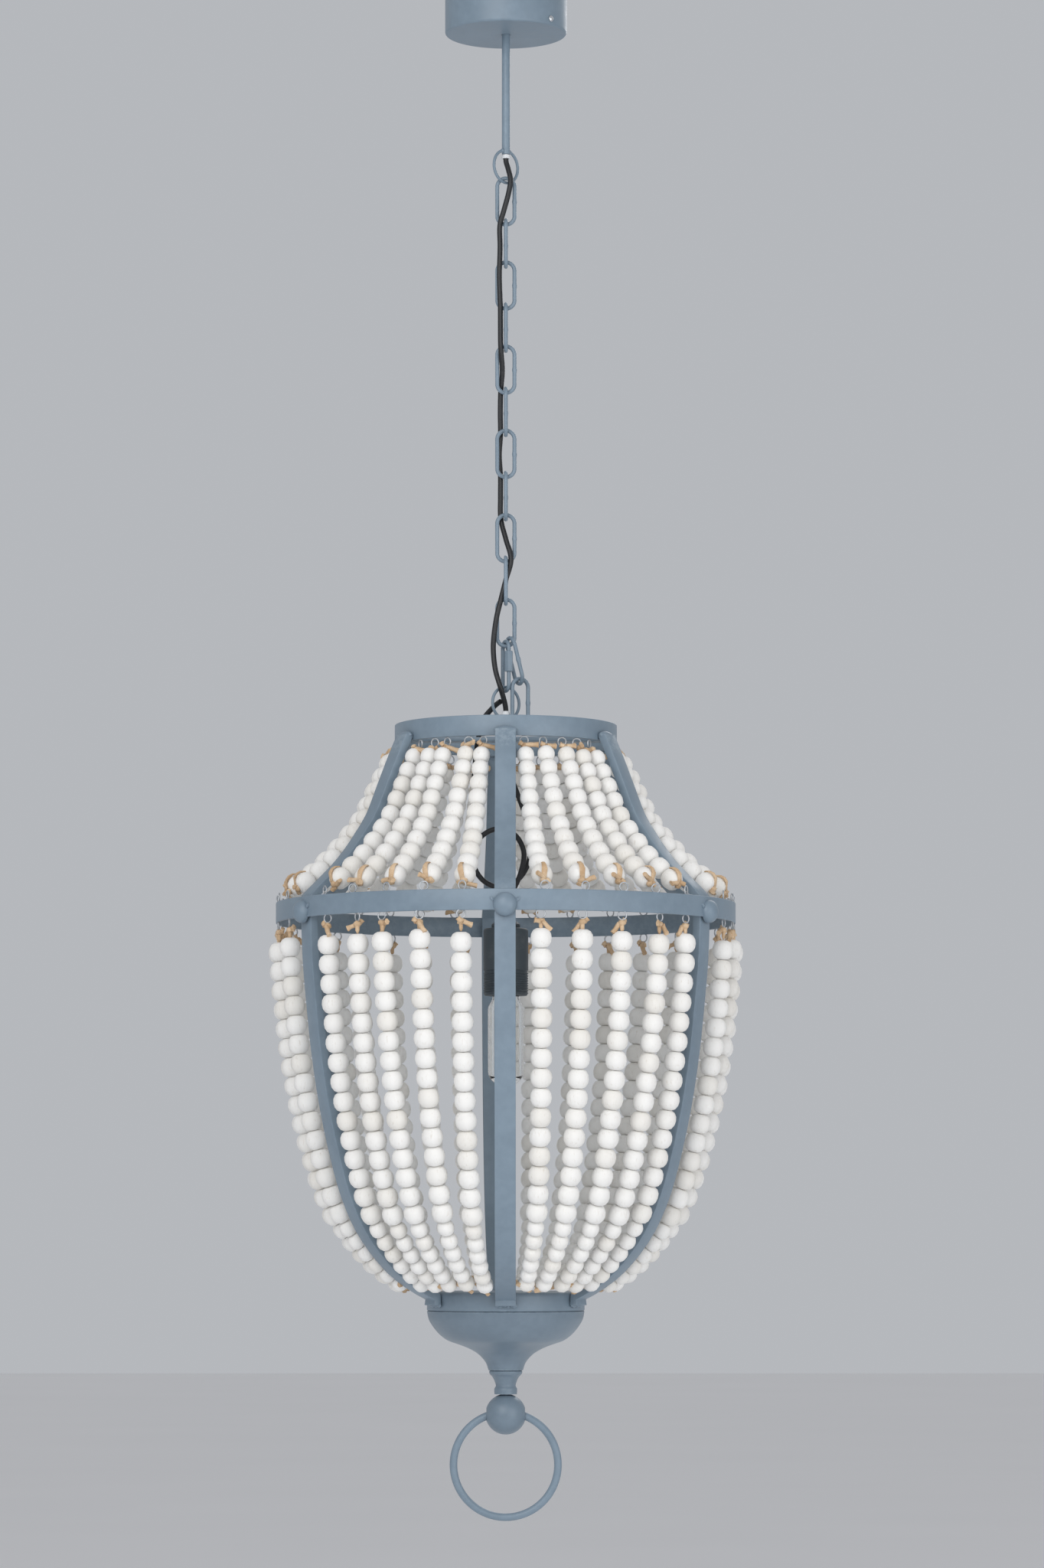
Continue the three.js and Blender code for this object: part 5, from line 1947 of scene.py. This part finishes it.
    def fasten(
        self, section: Section, course: Course, first: float, last: float, hung: Hung,
    ) -> None:
        """Adds the eyes that a string hangs between, and the jute ties at both its ends.

        Args:
            section: The half of the basket.
            course: The string's line.
            first: Where its beads start.
            last: Where its beads end.
            hung: The panel's pieces so far.
        """
        start = course.place(0)
        azimuth = math.degrees(math.atan2(start.x, -start.y))
        facing = rotation(azimuth + self.luck.uniform(-self.eye_turn, self.eye_turn))
        drop = Vector((0, 0, self.eye_radius - self.eye_sink))
        hung.eyes.append(duplicate(self.eye, "eye", Matrix.Translation(start - drop) @ facing))
        knot_at = min(2 * self.eye_radius - self.knot_sink, first)
        hung.jute.append(self.tie(section, course, knot_at, 1))
        if section is Section.UPPER:
            end = course.place(course.length)
            seat = Matrix.Translation(end + 0.6 * drop)
            hung.eyes.append(duplicate(self.eye, "eye", seat @ facing))
            foot = last + self.upper_foot
            hung.jute.append(self.tie(section, course, foot, -1))
            twist = Matrix.Rotation(self.luck.uniform(-self.laid_twist, self.laid_twist), 4, "Z")
            facing = self.facing_out(end, course.heading(last)) @ twist
            seat = Matrix.Translation(course.place(foot))
            hung.jute.append(duplicate(self.laid, "laid", seat @ facing))
        else:
            hung.jute.append(self.tie(section, course, last + self.lower_foot, -1))

    def tie(self, section: Section, course: Course, along: float, side: int) -> Piece:
        """A tie on a string.

        Args:
            section: The half of the basket.
            course: The string's line.
            along: Where on it the tie sits.
            side: 1 where the beads come after the tie, -1 where they come before it.

        Returns:
            The tie.
        """
        place = course.place(along)
        facing = self.facing_out(place, course.heading(along) * -side)
        turn = self.luck.choice((0, math.pi))
        turn += self.luck.uniform(-self.tie_twist, self.tie_twist)
        pattern = self.luck.choice(self.ties[section])
        seat = Matrix.Translation(place) @ facing @ Matrix.Rotation(turn, 4, "Z")
        return duplicate(pattern, "tie", seat)

    @staticmethod
    def facing_out(place: Vector, up: Vector) -> Matrix:
        """A turn that lays +Z along a direction and -Y outwards from the axis."""
        inward = -Vector((place.x, place.y, 0))
        inward = (inward - up * inward.dot(up)).normalized()
        return Matrix((inward.cross(up), inward, up)).transposed().to_4x4()


@dataclass
class Finial:
    """The drum and bowl at the bottom, the collar, the ball and the pull ring through it."""

    finishes: Finishes
    body: str = "cage"
    lid_wall: float = 3.0 * MM
    lid_shoulder: float = 4.0 * MM
    rod_hole: float = 3.3 * MM
    ring_hole: float = 6.2 * MM
    ring_wire: float = 7.5 * MM
    ball_radius: float = 19.85 * MM
    turned_edge: float = 0.8 * MM
    lid_edge: float = 0.6 * MM
    bowl: tuple[Pair, ...] = (
        (1, 0), (0.974, 0.155), (0.875, 0.35), (0.797, 0.447), (0.728, 0.505),
        (0.562, 0.583), (0.458, 0.641), (0.34, 0.738), (0.25, 0.88), (0.219, 1),
    )
    collar: tuple[Pair, ...] = (
        (1, 0), (0.98, 0.12), (0.8, 0.27), (0.66, 0.47), (0.6, 0.66), (0.68, 0.76), (0.68, 1),
    )

    def build(self) -> None:
        """Turns and dresses each piece."""
        self.lid()
        self.shaped("cup_bowl", self.bowl, 40)
        self.shaped("finial_collar", self.collar, 24)
        self.ball()
        self.ring()
        rod = rounded_node("tie_rod", "tie_rod_rounded", 0.4 * MM)
        finished(rod, self.finishes.zinc, self.body, ["tie_rod"])

    def lid(self) -> None:
        """The drum that the ribs are welded to, with a rounded shoulder."""
        size = Extent.of("cup_lid")
        inner = size.radius - self.lid_wall
        ceiling = size.top - self.lid_wall
        shoulder, edge = self.lid_shoulder, self.lid_edge
        outline = [
            (self.rod_hole, ceiling), (inner, ceiling), (inner, size.bottom),
            *arc((size.radius - edge, size.bottom + edge), edge, -90, 0, 3),
            *arc((size.radius - shoulder, size.top - shoulder), shoulder, 0, 90, 7),
            (self.rod_hole, size.top),
        ]
        drum = smoothed(turned("cup_lid_drum", outline, 96, ring=True), 45)
        finished(drum, self.finishes.paint, self.body, ["cup_lid"])

    def shaped(self, node: str, shares: Sequence[Pair], count: int) -> None:
        """A turned wooden piece from shares of its radius and height.

        Args:
            node: Its solid.
            shares: Its outline, as shares of the radius and of the way down.
            count: Points on the smooth outline.
        """
        size = Extent.of(node)
        height = size.top - size.bottom
        edge = self.turned_edge
        points = [Vector((size.radius * out, 0, size.top - height * down)) for out, down in shares]
        course = Course(points).spaced(count)
        outline = [
            (self.rod_hole, size.top), (size.radius - edge, size.top),
            *[(p.x, min(p.z, size.top - edge) if i == 0 else p.z) for i, p in enumerate(course)],
            (self.rod_hole, size.bottom),
        ]
        piece = smoothed(turned(f"{node}_turned", outline, 96, ring=True), 45)
        # The wood paint's darker colour is painted shade.
        finished(piece, self.finishes.wood_paint_with_painted_shade, self.body, [node])

    def ball(self) -> None:
        """The ball with a flat top, a hole for the rod and a cross hole with rounded lips."""
        size = Extent.of("finial_ball")
        radius = self.ball_radius
        centre = size.bottom + radius
        start = math.degrees(math.asin((size.top - centre) / radius))
        outline = [(0.0, size.top), *arc((0, centre), radius, start, -90, 40)]
        ball = turned("finial_ball_turned", outline, 96)
        bore = hollow(self.ring_hole, 0.0, -radius * 1.2, radius * 1.2, 0.1 * MM)[2:-2]
        drill = turned("ball_drill", bore, 64)
        drill.data.transform(shift(0, 0, centre) @ rotation(90, "Y"))
        settings = {"operation": "DIFFERENCE", "object": drill, "solver": "EXACT"}
        apply_modifier(ball, "BOOLEAN", settings)
        discard(drill)
        ball = smoothed(bevelled(ball, self.turned_edge, 3, 30), 50)
        # The wood paint's darker colour is painted shade.
        finished(ball, self.finishes.wood_paint_with_painted_shade, self.body, ["finial_ball"])

    def ring(self) -> None:
        """The round pull ring, with the ground seam of its weld inside the ball."""
        low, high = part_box("pull_ring")
        radius = (high.x - low.x) / 2 - self.ring_wire / 2
        ring = wire_ring("pull_ring_bar", radius, self.ring_wire, 128, 24)
        ring.data.transform(shift(0, 0, high.z - radius - self.ring_wire / 2))
        with editing(ring):
            top = high.z
            pick(ring, lambda p: p.z > top - 9 * MM and abs(p.x) < 1.0 * MM)
            scale_selected(1, 1.05, 1.004, (0, 0, top - self.ring_wire / 2))
        finished(smoothed(ring, 60), self.finishes.paint, "ring", ["pull_ring"])


@dataclass
class Lamp:
    """The lamp holder on its cable, and the clear tubular bulb in it."""

    finishes: Finishes
    body: str = "lamp"
    cable_bore: float = 2.9 * MM
    socket: float = 13.8 * MM
    glass_wall: float = 1.2 * MM
    neck: float = 12.5 * MM
    neck_lip: float = 0.5 * MM
    bulb_radius: float = 17.5 * MM
    grip_edge: float = 0.8 * MM
    grip_nose: float = 8.0 * MM
    grip_flutes: int = 24
    flute_edge: float = 0.35 * MM
    flute_depth: float = 0.5 * MM
    holder_edge: float = 3.0 * MM
    holder_depth: float = 28.0 * MM
    skirt: float = 24.0 * MM
    skirt_turns: int = 9
    skirt_pitch: float = 2.4 * MM
    thread_depth: float = 0.8 * MM
    base_turns: int = 7
    base_pitch: float = 3.2 * MM
    base_depth: float = 0.9 * MM
    contact: float = 3.6 * MM
    stem_length: float = 22.0 * MM
    stem_end: float = 2.6 * MM
    lead_radius: float = 0.35 * MM
    lead_aside: float = 1.6 * MM
    coil_turns: int = 8
    coil_radius: float = 4.6 * MM
    coil_wire: float = 0.22 * MM

    def build(self) -> None:
        """Models and dresses the lamp."""
        self.grip()
        self.holder()
        self.base()
        self.bulb()
        self.filament()

    def grip(self) -> None:
        """The cord grip: a ribbed nut with a tapered nose."""
        size = Extent.of("cord_grip")
        height = size.top - size.bottom
        radius, nose, edge = size.radius, self.grip_nose, self.grip_edge
        outline = [
            (self.cable_bore, size.bottom), (radius - edge, size.bottom),
            (radius, size.bottom + edge), (radius, size.bottom + height / 3 - edge),
            (radius - edge, size.bottom + height / 3),
            (nose, size.top - height / 3), (nose, size.top - edge), (nose - edge, size.top),
            (self.cable_bore, size.top),
        ]
        nut = turned("cord_grip_nut", outline, 48, ring=True)
        low, high = size.bottom + edge, size.bottom + height / 3 - edge
        pitch = 2 * math.pi / self.grip_flutes

        def on_a_flute(place: Vector) -> bool:
            """Whether a face's middle lies on the fluted band, in the first half of a pitch."""
            on_band = low < place.z < high and place.xy.length > radius * 0.98
            return on_band and math.atan2(place.y, place.x) % pitch < pitch / 2

        with editing(nut, Parts.FACES):
            pick(nut, on_a_flute, Parts.FACES)
            bpy.ops.mesh.inset(
                thickness=self.flute_edge, depth=-self.flute_depth, use_individual=True,
            )
        finished(smoothed(nut), self.finishes.dark_plastic, self.body, ["cord_grip"])

    def holder(self) -> None:
        """The lamp holder: a smooth barrel, a waist line and a threaded skirt."""
        size = Extent.of("lamp_holder")
        radius, edge, depth = size.radius, self.holder_edge, self.thread_depth
        floor = size.top - self.holder_depth
        skirt = size.bottom + self.skirt
        outline = [
            (self.cable_bore, floor), (self.socket, floor), (self.socket, size.bottom),
            (radius - 2 * depth, size.bottom), (radius - depth, size.bottom + depth),
        ]
        for turn in range(self.skirt_turns):
            height = size.bottom + 1.6 * MM + turn * self.skirt_pitch
            outline += stepped(radius - depth, radius, height, 0.6 * MM)
        outline += [
            (radius - 1.0 * MM, skirt), (radius, skirt + 0.8 * MM),
            *arc((radius - edge, size.top - edge), edge, 0, 90, 6),
            (self.cable_bore, size.top),
        ]
        barrel = smoothed(turned("lamp_holder_barrel", outline, 64, ring=True), 30)
        finished(barrel, self.finishes.dark_plastic, self.body, ["lamp_holder"])

    def base(self) -> None:
        """The bulb's screw base, with its rolled thread and contact."""
        size = Extent.of("bulb_base")
        radius, depth = size.radius, self.base_depth
        outline = [(0.0, size.bottom), (radius - depth, size.bottom)]
        for turn in range(self.base_turns):
            height = size.bottom + 0.8 * MM + turn * self.base_pitch
            for share in (0.0, 0.25, 0.5, 0.75):
                swell = 0.5 * (1 - math.cos(2 * math.pi * share))
                outline.append((radius - depth * (1 - swell), height + self.base_pitch * share))
        outline += [
            (radius - depth, size.top - 3.4 * MM), (self.contact + depth, size.top - 0.8 * MM),
            (self.contact, size.top), (0.0, size.top),
        ]
        base = smoothed(turned("bulb_screw_base", outline, 56), 50)
        finished(base, self.finishes.zinc, self.body, ["bulb_base"])

    def bulb(self) -> None:
        """The glass, open at its neck, with a rounded end and the pinched tip of its seal."""
        size = Extent.of("bulb_glass")
        length = size.top - size.bottom
        radius, neck = self.bulb_radius, self.neck + self.neck_lip
        outer: Outline = [(self.neck, size.top), (neck, size.top - 0.115 * length)]
        for i in range(1, 9):
            ease = 0.5 - 0.5 * math.cos(math.pi * i / 8)
            height = size.top - (0.115 + 0.125 * i / 8) * length
            outer.append((neck + (radius - neck) * ease, height))
        nose = size.bottom + 16 * MM
        drop = nose - size.bottom - 1.35 * MM
        for i in range(1, 13):
            turn = math.radians(90 * i / 12)
            outer.append((radius * math.cos(turn) ** 0.9, nose - drop * math.sin(turn)))
        outer[-1] = (0.9 * MM, outer[-2][1] - 0.6 * MM)
        outer.append((0.0, size.bottom))
        wall = self.glass_wall
        inner = [
            (max(r - wall, 0.0), z + (wall if i > 12 else 0.0)) for i, (r, z) in enumerate(outer)
        ]
        glass = turned("bulb_glass_blown", [*outer, *inner[::-1]], 72, ring=True)
        finished(smoothed(glass, 70), self.finishes.glass, self.body, ["bulb_glass"])

    def filament(self) -> None:
        """The glass stem, the two leads and the zigzag filament inside the bulb."""
        size = Extent.of("bulb_glass")
        top = size.top - 1.0 * MM
        end = top - self.stem_length
        outline = [
            (0.0, top), (7.5 * MM, top), (6.0 * MM, top - 3 * MM), (2.6 * MM, top - 9 * MM),
            (2.0 * MM, end + 3 * MM), *arc((0, end + self.stem_end), self.stem_end, 10, -90, 5),
        ]
        stem = smoothed(turned("bulb_stem", outline, 32), 60)
        finished(stem, self.finishes.glass, self.body)
        wires = []
        low = size.bottom + 20 * MM
        middle = (end + low) / 2
        for side in (-1, 1):
            deselect()
            bpy.ops.mesh.primitive_cylinder_add(
                vertices=8, radius=self.lead_radius, depth=end - low,
                location=(0, 0, middle + 2 * MM), enter_editmode=True,
            )
            lead = active()
            cut_across(low + 12 * MM, middle, end - 4 * MM)
            leave_edit_mode()
            wires.append(placed(lead, shift(side * self.lead_aside, 0, 0)))
        pitch = (end - low - 8 * MM) / self.coil_turns
        for turn in range(self.coil_turns):
            deselect()
            bpy.ops.mesh.primitive_torus_add(
                major_segments=20, minor_segments=5, major_radius=self.coil_radius,
                minor_radius=self.coil_wire, location=(0, 0, low + 4 * MM + turn * pitch),
                rotation=(0.5, 0.25 * (-1) ** turn, 0),
            )
            wires.append(placed(active(), Matrix.Identity(4)))
        piece = smoothed(joined("bulb_filament", wires), 60)
        finished(piece, self.finishes.filament, self.body)


# Studio


@dataclass(frozen=True)
class SoftLight:
    """A round area light: its place, its width and its power."""

    name: str
    place: Place
    width: float
    power: float

    def build(self, aim: float) -> None:
        """Hangs the light and aims it at a height on the axis.

        Args:
            aim: The height.
        """
        data = bpy.data.lights.new(f"{self.name}_light", "AREA")
        data.shape = "DISK"
        data.size = self.width
        data.energy = self.power
        lamp = into_scene(bpy.data.objects.new(f"{self.name}_light", data))
        lamp.location = self.place
        way = Vector((0, 0, aim)) - Vector(self.place)
        lamp.rotation_euler = way.to_track_quat("-Z", "Y").to_euler()


@dataclass(frozen=True)
class Studio:
    """The camera, the lights, the pale floor and the background."""

    finishes: Finishes
    picture_width: int = 1364
    millimetres_per_pixel: float = 0.7558
    axis_column: float = 661
    canopy_bottom_row: float = 40.6
    horizon_row: float = 1596
    distance: float = 4.9
    tilt: float = 2.5
    rise: float = 0.143
    lens: float = 115.06
    sensor: float = 36
    sight: float = 60
    floor_height: float = -1.95
    floor_width: float = 40
    background: Colour = (0.465, 0.480, 0.505)
    ambient: float = 0.47
    aim: float = -0.95
    lights: tuple[SoftLight, ...] = (
        SoftLight("key", (-0.9, -2.7, 0.2), 2.6, 44),
        SoftLight("fill", (2.2, -2.6, -0.9), 2.6, 30),
        SoftLight("rim", (0.8, 2.6, 0.8), 2.0, 24),
    )

    def build(self) -> None:
        """Sets up the studio."""
        self.camera()
        for light in self.lights:
            light.build(self.aim)
        self.floor()
        self.world()

    def camera(self) -> None:
        """The camera, nearly level, at the photograph's eye height and with its framing."""
        scale = self.millimetres_per_pixel * MM
        bottom = Extent.of("ceiling_canopy").bottom
        eye_height = bottom - (self.horizon_row - self.canopy_bottom_row) * scale
        data = bpy.data.cameras.new("studio_camera")
        camera = into_scene(bpy.data.objects.new("studio_camera", data))
        aside = (self.picture_width / 2 - self.axis_column) * scale
        camera.location = (aside, -self.distance, eye_height)
        camera.rotation_euler = (math.radians(90 + self.tilt), 0, 0)
        data.sensor_width = self.sensor
        data.lens = self.lens
        data.shift_y = self.rise
        data.clip_end = self.sight
        bpy.context.scene.camera = camera

    def floor(self) -> None:
        """A large pale floor well below the pull ring."""
        deselect()
        bpy.ops.mesh.primitive_plane_add(size=self.floor_width, location=(0, 0, self.floor_height))
        floor = placed(named("studio_floor_plane"), Matrix.Identity(4))
        floor.data.materials.append(self.finishes.floor)

    def world(self) -> None:
        """A pale background for the camera, gloss and glass, and a grey light for the rest."""
        world = bpy.data.worlds.new("studio_world")
        bpy.context.scene.world = world
        nodes = Nodes(world)
        rays = nodes.node("ShaderNodeLightPath").outputs
        camera, glossy, clear = (
            Value(nodes, rays[f"Is {kind} Ray"]) for kind in ("Camera", "Glossy", "Transmission")
        )
        seen = camera.maths("MAXIMUM", camera, glossy)
        seen = seen.maths("MAXIMUM", seen, clear)
        grey = (self.ambient, self.ambient, self.ambient * 1.02)
        colour = nodes.blend(seen, grey, self.background)
        light = nodes.node("ShaderNodeBackground", {}, {"Color": colour})
        nodes.node("ShaderNodeOutputWorld", {}, {"Surface": light.outputs[0]})
        bpy.context.scene.view_settings.view_transform = "Standard"


def main() -> None:
    """Builds the studio, the cords and then every sub-assembly."""
    logging.basicConfig(level=logging.INFO, format="%(message)s")
    finishes = Finishes()
    Studio(finishes).build()
    Cords(finishes).build()
    CeilingFixing(finishes).build()
    Chain(finishes).build()
    frame_parts = Frame(finishes)
    frame_parts.build()
    Strands(finishes, frame_parts).build()
    Finial(finishes).build()
    Lamp(finishes).build()


if __name__ == "__main__":
    main()
